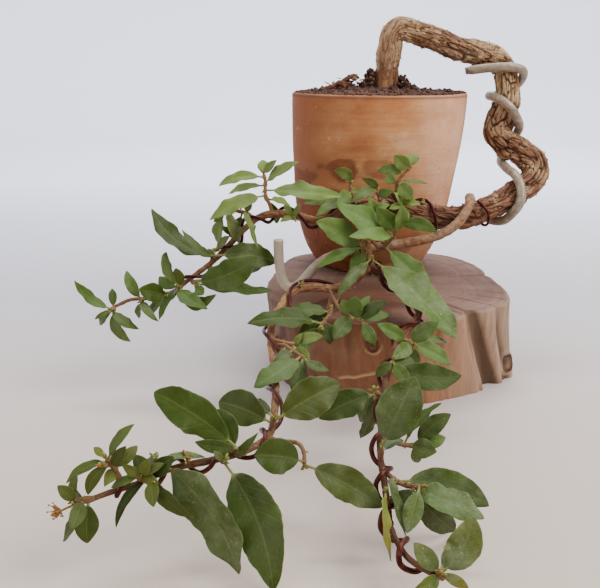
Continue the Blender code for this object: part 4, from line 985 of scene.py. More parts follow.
limbLook = {
    "upper": {
        "route": [(-7, -76, 111), (-18, -78, 109), (-30, -81, 103), (-44, -85, 100), (-57, -90, 104),
                  (-70, -93, 106), (-80, -95, 104), (-88, -97, 98), (-96, -99, 90), (-106, -102, 80),
                  (-114, -105, 74), (-123, -108, 68), (-129, -110, 63), (-137, -111, 60), (-148, -112, 58),
                  (-156, -114, 58), (-164, -116, 55), (-170, -117, 52)],
        "radii": [(0.0, 4.4), (0.12, 3.4), (0.30, 2.7), (0.50, 2.1), (0.70, 1.6), (0.85, 1.3), (1.0, 1.0)],
        "slim": 0.90, "reddish": 0.45, "golden": 0.15, "dark": 0.12, "darkening": (0.2, 0.5)},
    "fork": {
        "route": [(-7, -76, 111), (-10, -83, 105), (-13, -90, 97), (-15, -97, 87), (-13, -104, 76)],
        "radii": [(0.0, 4.2), (1.0, 3.2)], "slim": 0.95, "reddish": 0.30, "golden": 0.35, "dark": 0.0,
        "darkening": (0.0, 1.0)},
    "lower": {
        "route": [(-13, -104, 76), (-19, -108, 72), (-27, -110, 67), (-35, -111, 64), (-44, -112, 65),
                  (-55, -115, 65), (-62, -123, 63), (-66, -134, 60), (-70, -146, 57), (-71, -158, 52),
                  (-70, -171, 47), (-68, -185, 42), (-67, -202, 39), (-67, -222, 37), (-68, -242, 37),
                  (-72, -254, 38), (-80, -262, 38), (-90, -268, 38), (-100, -272, 38), (-111, -276, 37),
                  (-120, -280, 34), (-130, -283, 32), (-136, -286, 31)],
        "radii": [(0.0, 3.2), (0.15, 2.8), (0.35, 2.2), (0.60, 2.0), (0.80, 1.7), (1.0, 1.2)],
        "slim": 0.88, "reddish": 0.40, "golden": 0.30, "dark": 0.40, "darkening": (0.35, 0.75)},
    "front": {
        "route": [(-13, -104, 76), (-6, -109, 73), (0, -118, 70), (6, -127, 66), (10, -137, 63),
                  (11, -147, 60), (6, -155, 56), (-1, -163, 52), (-5, -172, 47), (-9, -182, 42),
                  (-12, -194, 38), (-14, -208, 34), (-17, -225, 29), (-19, -242, 26), (-19, -257, 23),
                  (-19, -273, 20), (-19, -286, 18), (-16, -298, 16), (-12, -306, 16), (-7, -311, 16),
                  (-3, -314, 16)],
        "radii": [(0.0, 3.1), (0.2, 2.5), (0.5, 2.0), (0.8, 1.6), (1.0, 1.2)],
        "slim": 0.84, "reddish": 0.85, "golden": 0.0, "dark": 0.52, "darkening": (0.15, 0.55)},
}
limbBark = {
    "spacing": 0.7, "sides": 44, "closing": 1.5, "cells": 8, "stretch": 9.0, "plates": 0.42, "fissures": 0.62,
    "fullRadius": 4.4, "jointStep": 17.0, "jointLong": 1.3, "jointRise": 0.30,
}
# dead stub below the lower branch, sawn off
stubLook = {"route": [(-35, -112, 63), (-37, -113, 56), (-39, -115, 49), (-39, -116, 45)], "radius": 1.25,
            "wear": 0.12, "sides": 20}


def corkRelief(along, turn, cells, seed, stretch):
    # long strips of cork: a fissure runs where a noise stretched along the wood crosses zero, finer
    # strips lie between, and short cracks cross where a third noise does; the sway bends them all
    around = turn / tau * cells
    around = around + 0.45 * latticeNoise(along / (0.9 * stretch), around / 2, seed, cells // 2)
    coarse = latticeNoise(along / stretch, around, seed + 1, cells)
    finer = latticeNoise(along / (0.42 * stretch), 2 * around, seed + 2, 2 * cells)
    thread = latticeNoise(along / (0.22 * stretch), 4 * around, seed + 3, 4 * cells)
    cross = latticeNoise(along / (0.30 * stretch) + 0.5 * finer, around / 2, seed + 4, cells // 2)
    fissure = np.maximum(bell(coarse, 0.09), 0.80 * bell(finer, 0.12))
    fissure = np.maximum(fissure, 0.65 * bell(cross, 0.05) * ease(np.abs(coarse), 0.05, 0.3))
    plates = 0.75 * np.sqrt(np.abs(coarse)) + 0.55 * np.sqrt(np.abs(finer)) + 0.45 * thread - 0.6
    plates = plates + 0.5 * ease(cross, -0.08, 0.08) - 0.25
    return plates, fissure


def partAlong(along, name):
    place, spread, strength = trunkLook["parts"][name]
    return strength * bell(along - place, spread)


def trunkBark(along, turn, girth, rough):
    # the girth under its cork, and the attributes that colour it
    look = trunkLook
    total = along[-1, 0]
    calm = partAlong(along, "calm")
    plates, fissure = corkRelief(along, turn, look["cells"], 71, look["stretch"])
    loop, spread = look["loopRough"]
    strength = rough * (1 - calm) * (0.75 + 0.35 * bell(along - loop * total, spread))
    girth = girth + strength * (look["plates"] * plates - look["fissures"] * fissure * (0.6 + 0.4 * fissure))
    blotch = layeredNoise(along / 6, turn / tau * 8, 81, 8, 3)
    red = blotch + partAlong(along, "foot") + partAlong(along, "end") + partAlong(along, "underArm")
    reddish = np.maximum(0.8 * ease(red, 0.45, 1.2), partAlong(along, "lowerBend"))
    reddish = np.maximum(reddish, 0.65 * ease(0.8 * blotch + partAlong(along, "upperArm"), 0.3, 1.3))
    front = bell(wrapped(turn - math.radians(look["scrapedSide"])), 1.2)
    scrape = partAlong(along, "scrape") * front + 0.3 * latticeNoise(along / 2, turn / tau * 20, 83, 20)
    attributes = {
        "fissure": strength * fissure + 0.16 * strength * ease(-plates, 0.1, 0.5), "smoothBark": calm,
        "reddish": reddish, "scraped": 0.8 * ease(scrape, 0.5, 0.8), "golden": partAlong(along, "golden"),
        "crest": 0.95 * ease(plates, 0.0, 0.6) * (1 - 0.75 * reddish)}
    return girth, attributes


def trunkFlakes(centres, along, rings, reddish):
    # thin shards of cork that lift from the surface, most of them under the first arm
    look = trunkLook["flakes"]
    draw = np.random.default_rng(85)
    first, last = (int(share * len(centres)) for share in look["rows"])
    rows = draw.integers(first, last, 6 * look["count"])
    sides = draw.integers(0, trunkLook["sides"], len(rows))
    out = unit(rings[rows, sides] - centres[rows])
    middle, spread = look["under"]
    chance = 0.12 + 0.9 * np.clip(-out[:, 2], 0, 1) * bell(along[rows, 0] - middle, spread)
    kept = np.flatnonzero(draw.uniform(0, 1, len(rows)) < chance)[:look["count"]]
    rows, sides, out = rows[kept], sides[kept], out[kept]
    count = len(rows)
    tangent = unit(np.gradient(centres, axis=0))[rows]
    lean = draw.uniform(*look["lean"], (count, 1))
    way = tangent * draw.choice([-1, 1], (count, 1)) + lean * out + 0.25 * draw.normal(0, 1, (count, 3))
    sizes = chipSizes(draw, look, count)
    shapes = lumpyShapes(draw, count, 0.3)
    places = rings[rows, sides] + look["lift"] * out
    red = reddish[rows, sides]
    return scattered(shapes, icoFaces, places, framesAlong(unit(way), -out), sizes, 0, reddish=red,
                     fissure=draw.uniform(0, 0.5, count), crest=draw.uniform(0, 1, count) * (1 - red))


def makeTrunk(finish):
    look = trunkLook
    centres = smoothRoute(look["route"], look["spacing"])
    along = distancesAlong(centres)[:, None]
    radius = tableAlong(look["radii"], centres)[:, None]
    turn = roundTurns(look["sides"])
    rising = np.clip((centres[:, 2:] - look["smoothBelow"]) / 6.0, 0, 1)
    rough = np.where(along > look["smoothFirst"], 1.0, rising)
    ridges = sum(proud * np.sin(count * turn + twist * along + phase)
                 for count, twist, phase, proud in look["ridges"])
    girth = radius * (1 + rough * (ridges + 0.035 * np.sin(0.21 * along) * np.cos(turn + 0.02 * along)))
    for place, side, size in look["knots"]:
        apart = wrapped(turn - side)
        lump = bell(along - place, 5.0) * bell(apart, 0.6)
        girth = girth + size * (lump - 0.8 * bell(along - place, 1.8) * bell(apart, 0.22))
    girth, attributes = trunkBark(along, turn, girth, rough)
    rings = tubeRings(centres, girth * roundedEnd(along[-1, 0] - along, look["closing"]), turn)
    solids = [closedTube(rings, **attributes), trunkFlakes(centres, along, rings, attributes["reddish"])]
    return makePiece("trunkWood", solids, [finish], ["trunk"])


def limbTube(number, look):
    # thinner bark than the trunk's: shallow fissures, and a swelling at each old leaf joint
    form = limbBark
    centres = smoothRoute(look["route"], form["spacing"])
    along = distancesAlong(centres)[:, None]
    total = along[-1, 0]
    radius = tableAlong(look["radii"], centres)[:, None]
    turn = roundTurns(form["sides"])
    plates, fissure = corkRelief(along, turn, form["cells"], 91 + 10 * number, form["stretch"])
    step = form["jointStep"]
    joints = bell(np.mod(along + 3 * number, step) - 0.5 * step, form["jointLong"])
    joints = joints * (0.5 + 0.5 * latticeNoise(along / step, 0, 95 + number))
    strength = radius / form["fullRadius"]
    girth = look["slim"] * radius * (1 + 0.04 * np.sin(2 * turn + 0.12 * along)) + form["jointRise"] * joints
    girth = girth + strength * (form["plates"] * plates - form["fissures"] * fissure)
    girth = girth * roundedEnd(total - along, form["closing"])
    blotch = layeredNoise(along / 8, turn / tau * 5, 97 + number, 5, 3)
    glow = layeredNoise(along / 5, turn / tau * 6, 98 + number, 6, 2)
    shadow = look["dark"] * ease(along / total, *look["darkening"])
    dark = 0.75 * fissure * strength + 0.1 * joints + shadow
    reddish, golden = (np.clip(look[name] + 0.5 * noise, 0, 1)
                       for name, noise in (("reddish", blotch), ("golden", glow)))
    return closedTube(tubeRings(centres, girth, turn), fissure=dark, smoothBark=0.35 * along / total,
                      reddish=reddish, golden=golden)


def makeLimbs(finish):
    solids = [limbTube(number, look) for number, look in enumerate(limbLook.values())]
    stub = smoothRoute(stubLook["route"], limbBark["spacing"])
    turn = roundTurns(stubLook["sides"])
    uneven = latticeNoise(distancesAlong(stub)[:, None] / 2, turn / tau * 5, 99, 5)
    rings = tubeRings(stub, stubLook["radius"] + stubLook["wear"] * uneven, turn)
    solids.append(closedTube(rings, fissure=0.15, smoothBark=0.8))
    return makePiece("limbWood", solids, [finish], ["trunk"])


makeTrunk(bark)
makeLimbs(bark)
print("trunk and limbs")


# Training wires

heavyWireLook = {
    "radius": 3.0, "gap": 0.35, "step": 8.5, "easing": 0.25, "spacing": 0.9, "sides": 30,
    # its start is bitten off to a chisel; past the trunk's loop it is crusted with bark dust, which
    # goes over the last of its way, as it bleaches
    "bite": 5.0, "crusted": (210, 250), "cleaner": (70, 40), "bleached": (75, 40),
    "route": [(57, -12, 188), (68, -17, 190), (81, -18, 192), (92, -14, 190), (99, -6, 185),
              (99, 1, 178), (93, 5, 172), (85, 4, 170), (78, -2, 170), (75, -10, 170),
              (78, -20, 171), (86, -24, 165), (91, -25, 156), (93, -22, 150), (92, -13, 142),
              (87, -9, 136), (82, -18, 132), (81, -29, 127), (85, -38, 122), (90, -46, 119),
              (92, -54, 115), (90, -60, 109), (85, -60, 102), (78, -55, 98), (72, -46, 98),
              (63, -45, 103), (55, -54, 109), (54, -66, 108), (52, -75, 103), (47, -80, 97),
              (41, -82, 92), (32, -82, 88), (19, -81, 86), (7, -80, 84), (-6, -84, 83),
              (-20, -87, 82), (-34, -92, 82), (-44, -97, 79), (-50, -100, 74), (-52, -103, 67),
              (-54, -107, 61), (-59, -109, 57), (-65, -107, 57), (-68, -104, 63), (-68, -102, 72),
              (-68, -102, 92)],
}
# thin wires: radius, share of it that shows, the wood they wind on and from where, then the limb
# that they go on to; and how many turns they have made at distances along
coilLook = {
    "tie_wire": [1.0, 0.9, "trunk", 0, None, [(299, -0.42), (305, 0.25)]],
    "upper_wire": [1.2, 0.9, "trunk", 330, "upper", [
        (2, -0.33), (10, 0), (34, 1), (62, 2), (101, 3), (125, 4), (150, 5), (178, 6), (212, 7.35)]],
    "front_wire": [1.4, 0.82, "fork", 0, "front", [
        (12, -0.1), (48, 0.75), (57, 1), (84, 2), (112, 3), (141, 4), (169, 5), (197, 6), (224, 7), (245, 8),
        (266, 9), (285, 10.2)]],
    "lower_wire": [1.2, 0.86, "fork", 0, "lower", [
        (56, 0.54), (82, 0.25), (105, 0), (151, -1), (198, -2), (241, -3), (265, -4), (285, -5),
        (308, -6.3)]],
}
thinWire = {"follow": 1.5, "step": 5.4, "gap": 0.45, "spacing": 0.6, "sides": 18}
faceDirection = np.array((0.0, -0.75, 0.65))  # leaves and coils turn their fronts this way


def searchTree(names):
    # nearest-point tree over the frame's solids
    points, faces, first = [], [], 0
    for name in names:
        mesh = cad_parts[name].data
        spots = np.empty(3 * len(mesh.vertices))
        mesh.vertices.foreach_get("co", spots)
        corners = np.empty(len(mesh.loops), np.int32)
        mesh.loops.foreach_get("vertex_index", corners)
        points.append(spots.reshape(-1, 3) / mm)
        faces.append(corners.reshape(-1, 3) + first)
        first += len(mesh.vertices)
    return BVHTree.FromPolygons(np.vstack(points).tolist(), np.vstack(faces).tolist())


def escape(point, reach, tree):
    # the shift that takes a point out to reach from the nearest surface
    place, normal, _face, distance = tree.find_nearest(point)
    place, normal = np.array(place), np.array(normal)
    offset = point - place
    outside = np.dot(offset, normal) >= 0
    if outside and distance >= reach:
        return np.zeros(3)
    if outside and distance > 0.05:
        return place + offset / distance * reach - point
    return place + normal * reach - point


def pushClear(route, reach, tree, easing=0.0, passes=14):
    # a wire's middle line, moved out of the solids until all of it is reach from them
    points = route.copy()
    for turn in range(passes):
        for index in range(len(points) - 1):
            shift = escape(0.5 * (points[index] + points[index + 1]), reach, tree)
            points[index] += shift
            points[index + 1] += shift
        for index, point in enumerate(points):
            points[index] = point + escape(point, reach, tree)
        if turn < passes - 4:
            points[1:-1] += easing * (0.5 * (points[:-2] + points[2:]) - points[1:-1])
    return points


def woodLine(limb):
    look = trunkLook if limb == "trunk" else limbLook[limb]
    route = smoothRoute(look["route"], 1.0)
    return route, tableAlong(look["radii"], route)


def coilRoute(radius, lead, skip, limb, turns):
    # middle + reach * (front * cos(turns) + beside * sin(turns)), along the wood
    centres, girth = woodLine(lead)
    wanted = distancesAlong(centres) >= skip
    centres, girth = centres[wanted], girth[wanted]
    if limb:
        limbCentres, limbGirth = woodLine(limb)
        centres, girth = np.vstack([centres[:-1], limbCentres]), np.concatenate([girth[:-1], limbGirth])
    places, turns = zip(*turns)
    at = np.arange(places[0], places[-1], thinWire["follow"])
    middle = pointAlong(centres, at)
    reach = np.interp(at, distancesAlong(centres), girth)[:, None] + radius + heavyWireLook["gap"]
    tangents = unit(np.gradient(middle, axis=0))
    front = unit(faceDirection - tangents * (tangents @ faceDirection)[:, None])
    angle = tau * np.interp(at, places, turns)[:, None]
    return middle + reach * (np.cos(angle) * front + np.sin(angle) * np.cross(tangents, front))


def makeHeavyWire(finish):
    look = heavyWireLook
    tree = searchTree(["trunk", "pot", "log_slice"])
    reach = look["radius"] + look["gap"]
    route = pushClear(smoothRoute(look["route"], look["step"]), reach, tree, look["easing"])
    centres = smoothRoute(route, look["spacing"])
    along = distancesAlong(centres)[:, None]
    left = along[-1, 0] - along
    turn = roundTurns(look["sides"])
    (cleanFrom, cleanTo), (paleFrom, paleTo) = look["cleaner"], look["bleached"]
    crust = ease(along, *look["crusted"]) * (1 - 0.8 * ease(-left, -cleanFrom, -cleanTo))
    dents = 0.05 * layeredNoise(along / 4, turn / tau * 8, 101, 8, 3)
    lumps = 0.35 * layeredNoise(along / 1.8, turn / tau * 12, 103, 12, 3)
    girth = look["radius"] * (1 + dents * 0.35) + crust * lumps
    pinch = 1 - (1 - ease(along, 0.0, look["bite"])) * (0.75 * np.abs(np.sin(turn - 0.6)))
    solid = closedTube(tubeRings(centres, girth * pinch, turn), crust=crust, cutEnd=bell(left, 0.6),
                       bleached=0.7 * ease(-left, -paleFrom, -paleTo))
    return makePiece("heavyTrainingWire", [solid], [finish], ["heavy_wire"])


def makeThinWires(finish):
    tree = searchTree(["trunk", "pot", "log_slice", "heavy_wire"])
    turn = roundTurns(thinWire["sides"])
    for name, (radius, slim, *way) in coilLook.items():
        route = smoothRoute(coilRoute(radius, *way), thinWire["step"])
        route = pushClear(route, radius + thinWire["gap"], tree)
        centres = smoothRoute(route, thinWire["spacing"])
        along = distancesAlong(centres)[:, None]
        tip = roundedEnd(np.minimum(along, along[-1, 0] - along), 0.5, 0.05)
        rings = tubeRings(centres, slim * radius * tip, turn)
        wear = 0.5 + 0.5 * latticeNoise(along / 9, turn / tau * 3, 105, 3)
        piece = name.split("_")[0] + "ThinWire"
        makePiece(piece, [closedTube(rings, wear=wear)], [finish], [name])


greyWirePaint = {
    "scratches": (260, 5.0, 0.7),
    "metal": [(0.32, (0.185, 0.140, 0.100)), (0.52, (0.300, 0.240, 0.180)), (0.72, (0.43, 0.365, 0.290))],
    "bleached": [(0.60, 0.52, 0.42), "bleached"], "cutEnd": [(0.62, 0.50, 0.36), "cutEnd"],
    "dirt": ((170, 5.0, 0.7), (0.30, 0.55), (0.55, 1.0)),
    "crust": ((330, 4.0, 0.6), (0.35, (0.155, 0.070, 0.036)), (0.65, (0.35, 0.195, 0.100))),
    "rough": [(0.0, 0.42), (0.8, 0.85)], "metallic": [(0.0, 0.25), (0.6, 0.0)],
}


def greyWireFinish():
    paint = greyWirePaint
    finish, tree, principled = newFinish("weatheredAluminium", Specular_IOR_Level=0.3)
    scratches = noiseOf(tree, *paint["scratches"])
    dirt = timesOf(tree, valueOf(tree, "crust"), maskOf(tree, paint["dirt"]))
    layers = [paint["bleached"], [maskOf(tree, paint["crust"]), dirt], paint["cutEnd"]]
    colour = layersOver(tree, rampOf(tree, scratches, *paint["metal"]), layers)
    rough = rampOf(tree, dirt, *paint["rough"])
    metallic = rampOf(tree, dirt, *paint["metallic"])
    relief = reliefOf(tree, (scratches, 0.14))
    shade(tree, principled, Base_Color=colour, Roughness=rough, Metallic=metallic, Normal=relief)
    return finish


brownWirePaint = {
    "clouds": (180, 4.0, 0.6),
    "anodised": [(0.35, (0.020, 0.004, 0.003)), (0.6, (0.046, 0.008, 0.006)), (0.8, (0.105, 0.022, 0.016))],
    "rubbed": [(0.20, 0.08, 0.06), "wear", ((420, 3.0), (0.55, 0.0), (0.7, 0.5))],
    "rough": [(0.3, 0.27), (0.8, 0.40)], "sheen": (1.0, 0.35, 0.28, 1.0),
}


def brownWireFinish():
    paint = brownWirePaint
    finish, tree, principled = newFinish("brownAnodisedWire", Specular_IOR_Level=0.35,
                                         Specular_Tint=paint["sheen"])
    clouds = noiseOf(tree, *paint["clouds"])
    colour = layersOver(tree, rampOf(tree, clouds, *paint["anodised"]), [paint["rubbed"]])
    rough = rampOf(tree, clouds, *paint["rough"])
    shade(tree, principled, Base_Color=colour, Roughness=rough, Normal=reliefOf(tree, (clouds, 0.05)))
    return finish


makeHeavyWire(greyWireFinish())
makeThinWires(brownWireFinish())
print("wires")


# Leafy shoots: name of the solid, the limb it grows on, how far along, its tones, the bends of its
# twig, and its leaves. The tones are how dark (0) or vivid (1), how dusty, the dust carrying a painted
# grey sheen, and how young the leaves are. Each leaf has its share of the twig, where the tip reaches,
# width, roll in degrees, arch of the midrib, whether it is broad near its tip (to 1) or tapers (-1), and
# how far it bends sideways; the last three are left out where they are as usual

usualLeaf = (0.1, 0, 0)
shootRows = [
    ("upper_tall_shoot", "upper", 70, (0.75, 0.5, 0.75),
     [(-1, 0, 5), (-4, 0, 11), (-4, 1, 19), (-5, 2, 24)], [
        (0.36, (6, 21, -20), 6, 35), (0.42, (-33, -9, -13), 12, 10, 0.1, -0.2),
        (0.56, (45, -16, -1), 12, -5, 0.05, -0.2, 0.01), (0.68, (-23, 8, -6), 6, 5, 0.1, 0, 0.01),
        (0.89, (-27, -5, -4), 8, 5, 0.1, 0, 0.06), (0.74, (20, -9, 14), 8, -5, 0.1, -0.2),
        (0.94, (-1, 5, 9), 7, 0, 0.1, 0.4), (1.0, (8, -7, 9), 5, 25), (0.3, (14, 11, -6), 7, -15)]),
    ("upper_side_shoot", "upper", 80, (0.6, 0.5, 0.45), [(-7, 3, 3), (-15, 4, 4), (-21, 4, 2)], [
        (0.22, (2, -2, 10), 5, 15), (0.15, (7, -22, -16), 9, -55, 0.12, 0, 0.29),
        (0.7, (6, -15, -17), 9, -35, 0.12, 0, 0.19), (0.85, (-7, 6, -2), 3, -30),
        (0.45, (2, 10, 6), 5, 15, 0.15), (0.35, (-7, 9, -18), 9, -30, 0.1, 0.3),
        (0.93, (-5, 7, -21), 9, 20, 0.15, 0, -0.02), (1.0, (-5, -4, -4), 4, -25)]),
    ("upper_spur_inner", "upper", 58, (0.6, 0.1, 0.4), [(2, -8, -1)], [
        (0.52, (-8, -6, -1), 4, 0, 0.15), (0.76, (-6, 5, 8), 4, -15), (1.0, (3, 3, 9), 4, -20)]),
    ("upper_pair_long", "upper", 114, (0.3, 0.3, 0), [(0, -7, 3)], [
        (0.52, (-38, 7, 28), 13, 20, -0.04, 0.1, -0.14), (0.76, (-18, -7, 18), 7, 20, 0.1, 0, -0.24),
        (1.0, (36, 13, -7), 15, 15, 0.06, 0.3, -0.05), (0.28, (-7, 8, 2), 5, -20)]),
    ("upper_pair_broad", "upper", 134, (0.7, 0.4, 0), [(3, -6, -2)], [
        (0.48, (40, -18, 20), 17, 30, 0.04, 0.3, 0.07), (0.22, (41, 14, 5), 9, -15, 0.12, 0, 0.14),
        (0.74, (48, -2, -4), 9, -15, -0.05, -0.2, -0.01), (1.0, (7, -14, -2), 6, 15, -0.1)]),
    ("upper_cluster", "upper", 142, (0.45, 0.08, 0), [(1, -7, 2)], [
        (0.49, (23, -14, 0), 9, 5, -0.12, 0, 0.26), (0.66, (18, -17, -8), 11, -20, 0.08, 0, 0.16),
        (0.32, (-2, -1, 12), 8, 5, 0.08), (0.83, (-8, 6, 20), 8, 40, 0.1, 0.5, -0.3),
        (1.0, (-14, 9, 4), 7, -20, 0.08, 0.3, -0.1), (0.15, (-10, -19, -14), 9, 40, 0.1, -0.2, -0.04)]),
    ("upper_pair_near_tip", "upper", 150, (0.55, 0.05, 0), [(0, -7, 2)], [
        (0.77, (-14, -10, 6), 11, -30, 0.08, 0.3, -0.03), (1.0, (-14, 6, -13), 8, 10, 0.1, 0, -0.17)]),
    ("upper_hanging_pair", "upper", 166, (0.5, 0.25, 0.1), [(1, -7, 1)], [
        (0.5, (5, -5, -9), 5, 5, 0.15, -0.2), (0.75, (11, -9, -10), 6, -30, 0.15, 0, 0.23),
        (1.0, (-4, 6, -13), 5, 5, 0.1, 0.3), (0.26, (-9, 4, 17), 7, 10, 0.1, 0, -0.11)]),
    ("upper_tip", "upper", 184, (0.4, 0.1, 0), [(1, -6, 0)], [
        (0.67, (-19, -7, 20), 8, 25, -0.12, 0, -0.04), (0.5, (11, -9, -17), 7, 25, 0.12, 0, 0.11),
        (0.33, (16, -7, -10), 8, -30, 0.1, 0.2, 0.23), (0.17, (-2, 8, 10), 5, 10),
        (0.83, (-10, -5, -4), 4, 15, 0.05), (1.0, (-11, 8, -12), 6, -5)]),
    ("crown_left_shoot", "upper", 15, (0.7, 0.35, 0.3), [(-1, -4, 6), (-3, -5, 11), (-3, -5, 15)], [
        (1.0, (-10, -5, 9), 7, -35, 0.15, 0.5, 0.2), (0.6, (-9, -13, -5), 9, -25),
        (0.3, (-23, -14, -9), 9, 15, 0.1, -0.2), (0.5, (4, 14, 0), 6, 35),
        (0.15, (-31, 8, -4), 10, 10, 0.08, -0.2, 0.01)]),
    ("crown_middle_shoot", "trunk", 371, (0.6, 0.55, 0.15), [(-3, -9, 5), (-4, -10, 9)], [
        (0.85, (-17, -13, -4), 7, 0, 0.2, -0.2, 0.05), (1.0, (-10, -5, 8), 5, -40, 0.15, 0, 0.13),
        (0.69, (8, -10, 4), 6, 50, 0.15)]),
    ("crown_right_shoot", "trunk", 362, (0.75, 0.35, 0.35),
     [(0, -3, 10), (1, -4, 17), (4, -4, 21), (8, -4, 25)], [
        (0.7, (-16, -5, 3), 7, -35, 0.15, 0.2, 0.14), (0.94, (-10, -6, 9), 9, -45, 0.15, 0.3),
        (1.0, (2, 4, 8), 9, 0, 0.12, 0.6), (0.46, (8, -11, -9), 9, 25, 0.1, 0.2),
        (0.52, (19, 6, -3), 3, -5, 0.05), (0.4, (-7, 7, 4), 6, -30, 0.15)]),
    ("crown_front_spray", "fork", 27, (0.85, 0.3, 0.1), [(8, -6, -6), (13, -10, -1), (18, -11, 8)], [
        (0.89, (-13, -5, 15), 10, -30), (0.73, (-28, -22, 5), 10, 5, 0.12, -0.2, -0.06),
        (1.0, (21, -9, -1), 8, 30, 0.15, 0, -0.15), (0.78, (-35, -4, 20), 16, 5, 0.08, 0, -0.08),
        (0.95, (5, 8, 10), 6, 5), (0.84, (1, -14, 20), 9, 35),
        (0.35, (30, -10, -27), 14, 0, 0.1, 0, 0.03)]),
    ("crown_low_spray", "fork", 37, (0.95, 0.25, 0.15), [(-3, -7, 4)], [
        (0.46, (-29, -16, 20), 15, -15, 0.06, 0.2, 0.03), (0.19, (-8, -9, -13), 9, -10, 0.1, 0.3),
        (0.73, (-15, 0, -8), 6, 15, 0.15, 0, 0.11), (1.0, (-28, -10, -10), 8, 15, 0.1, -0.2, -0.01)]),
    ("fork_spray", "fork", 45, (0.6, 0.95, 0), [(1, -7, 5)], [
        (0.74, (42, -53, -30), 23, -15, 0.05, 0, -0.01), (1.0, (-21, -14, -19), 9, 25, 0.1, -0.2, -0.03)]),
    ("lower_twig_left", "lower", 19, (0.25, 0, 0),
     [(-3, -8, -4), (-8, -18, -8), (-10, -26, -10), (-13, -34, -11), (-15, -40, -12)], [
        (0.85, (3, -9, -11), 8, 5, 0.1, -0.2), (0.55, (-16, -2, -6), 9, -20, 0.08, 0, 0.03),
        (0.6, (-25, -9, 3), 10, 15), (0.97, (-41, -10, 4), 14, 20, 0.1, -0.2, 0.01),
        (0.9, (-14, -2, -7), 7, -20, 0.1, 0, 0.07), (1.0, (-15, -10, -11), 9, -15, -0.1, 0.6)]),
    ("lower_twig_right", "lower", 29, (0.6, 0.25, 0),
     [(2, -13, -2), (6, -25, -6), (11, -30, -8), (17, -35, -9)], [
        (0.9, (-1, -4, 15), 10, -30, 0.08, 0.6), (0.8, (-5, 2, 10), 8, -15),
        (0.93, (15, -8, 14), 8, 10, 0.08, -0.2, -0.03), (0.97, (17, 3, 3), 7, -10),
        (0.87, (9, 9, 11), 6, -15), (1.0, (7, -10, -10), 7, 15),
        (0.83, (-11, -13, -8), 10, -10, 0.1, -0.2, 0.06)]),
    ("lower_olive_spray", "lower", 106, (0.35, 0.35, 0), [(6, -2, 2), (13, -11, 1), (18, -15, -1)], [
        (0.6, (-10, -11, -4), 6, -15, 0.1, 0, 0.06), (0.88, (-23, -25, -6), 14, 20, 0.06, 0.2, -0.06),
        (0.94, (-5, -12, -15), 8, -5, 0.08, 0.2), (1.0, (12, -8, -3), 6, -15, 0.1, 0.3, 0.15)]),
    ("lower_broad_pair", "lower", 210, (0.25, 0.15, 0), [(3, -4, 5)], [
        (0.75, (-35, 8, 22), 16, -10, 0.06, 0.7, 0.04), (0.25, (-9, 11, 14), 11, 0, 0.08, 0.3),
        (1.0, (-18, -2, 4), 6, -30), (0.5, (9, -9, 13), 5, -15, 0.15, 0, 0.2)]),
    ("lower_elbow_pair", "lower", 184, (0.05, 0, 0), [(2, 0, 7)], [
        (0.48, (-25, 12, 5), 16, -10, 0.06, 0.5, 0.04), (0.74, (30, 16, 11), 18, 15, 0.06, 0.2, -0.03),
        (1.0, (-14, 21, -2), 7, 25)]),
    ("lower_side_shoot", "lower", 189, (0.25, 0.15, 0),
     [(7, -4, 0), (13, -8, 2), (16, -13, 0), (16, -16, -4)], [
        (0.95, (-20, -9, 8), 15, -15, 0.05, 0.6, 0.04), (1.0, (32, -10, -14), 14, 10, 0.06, 0.1, -0.04)]),
    ("lower_hanging_left", "lower", 241, (0.4, 0.6, 0), [(-1, -2, 7)], [
        (1.0, (33, -17, -41), 20, 40, 0.04, -0.3, -0.15), (0.77, (18, 7, -2), 4, -25)]),
    ("lower_hanging_right", "lower", 217, (0.25, 0.35, 0), [(3, -6, 2)], [
        (0.75, (21, -31, -38), 20, 15, 0.04, -0.3, -0.09), (1.0, (-4, 0, 5), 3, -5)]),
    ("lower_near_tip", "lower", 245, (0.1, 0, 0), [(2, -6, 2)], [
        (0.66, (16, -11, -10), 7, 35, 0.15, -0.2, -0.02), (0.33, (9, -1, 10), 7, 0, 0.1, 0.2),
        (0.83, (-8, 5, 8), 6, 0), (1.0, (2, -11, -5), 6, 10),
        (0.16, (-13, -10, -16), 4, 5, 0.08, -0.2, 0.12), (0.5, (-1, 16, 3), 5, -25)]),
    ("lower_upright_shoot", "lower", 258, (0.15, 0, 0.12), [(0, -1, 7), (-2, -3, 14), (-3, -4, 16)], [
        (0.91, (10, 3, 14), 5, -20, 0.12, 0.2, -0.01), (0.83, (-16, -5, -6), 5, 25, 0.1, -0.1, 0.08),
        (0.74, (-8, -7, -9), 5, -15, 0.12, 0.3, 0.16), (0.3, (-3, -9, 1), 5, -25, 0.15, 0, 0.2),
        (1.0, (-6, 5, 2), 3, 0), (0.55, (8, 6, 7), 5, 15, 0.1, 0.2), (0.66, (7, -6, 12), 5, 15)]),
    ("lower_tip", "lower", 268, (0.12, 0, 0.06), [(-4, -2, 0), (-7, -4, 1)], [
        (0.82, (-6, -2, 8), 5, 5, 0.12, 0.3), (0.12, (0, -7, -15), 9, -15, 0.06, 0.2, 0.04),
        (0.65, (-6, -6, -14), 6, 35, 0.1, -0.2, -0.21), (1.0, (0, 7, 8), 4, -15, 0.15),
        (0.29, (-9, 10, -1), 5, -35), (0.47, (-1, -14, -4), 6, -25)]),
    ("front_whorl", "front", 74, (0.7, 0.25, 0), [(3, -4, -2), (5, -8, -2)], [
        (0.3, (-17, -3, 11), 8, -5, 0.1, 0, -0.01), (0.48, (14, -6, 14), 9, 15, 0.08),
        (0.65, (21, -8, -9), 10, -10, 0.1, -0.2, 0.01), (0.83, (-12, -16, -2), 8, -15),
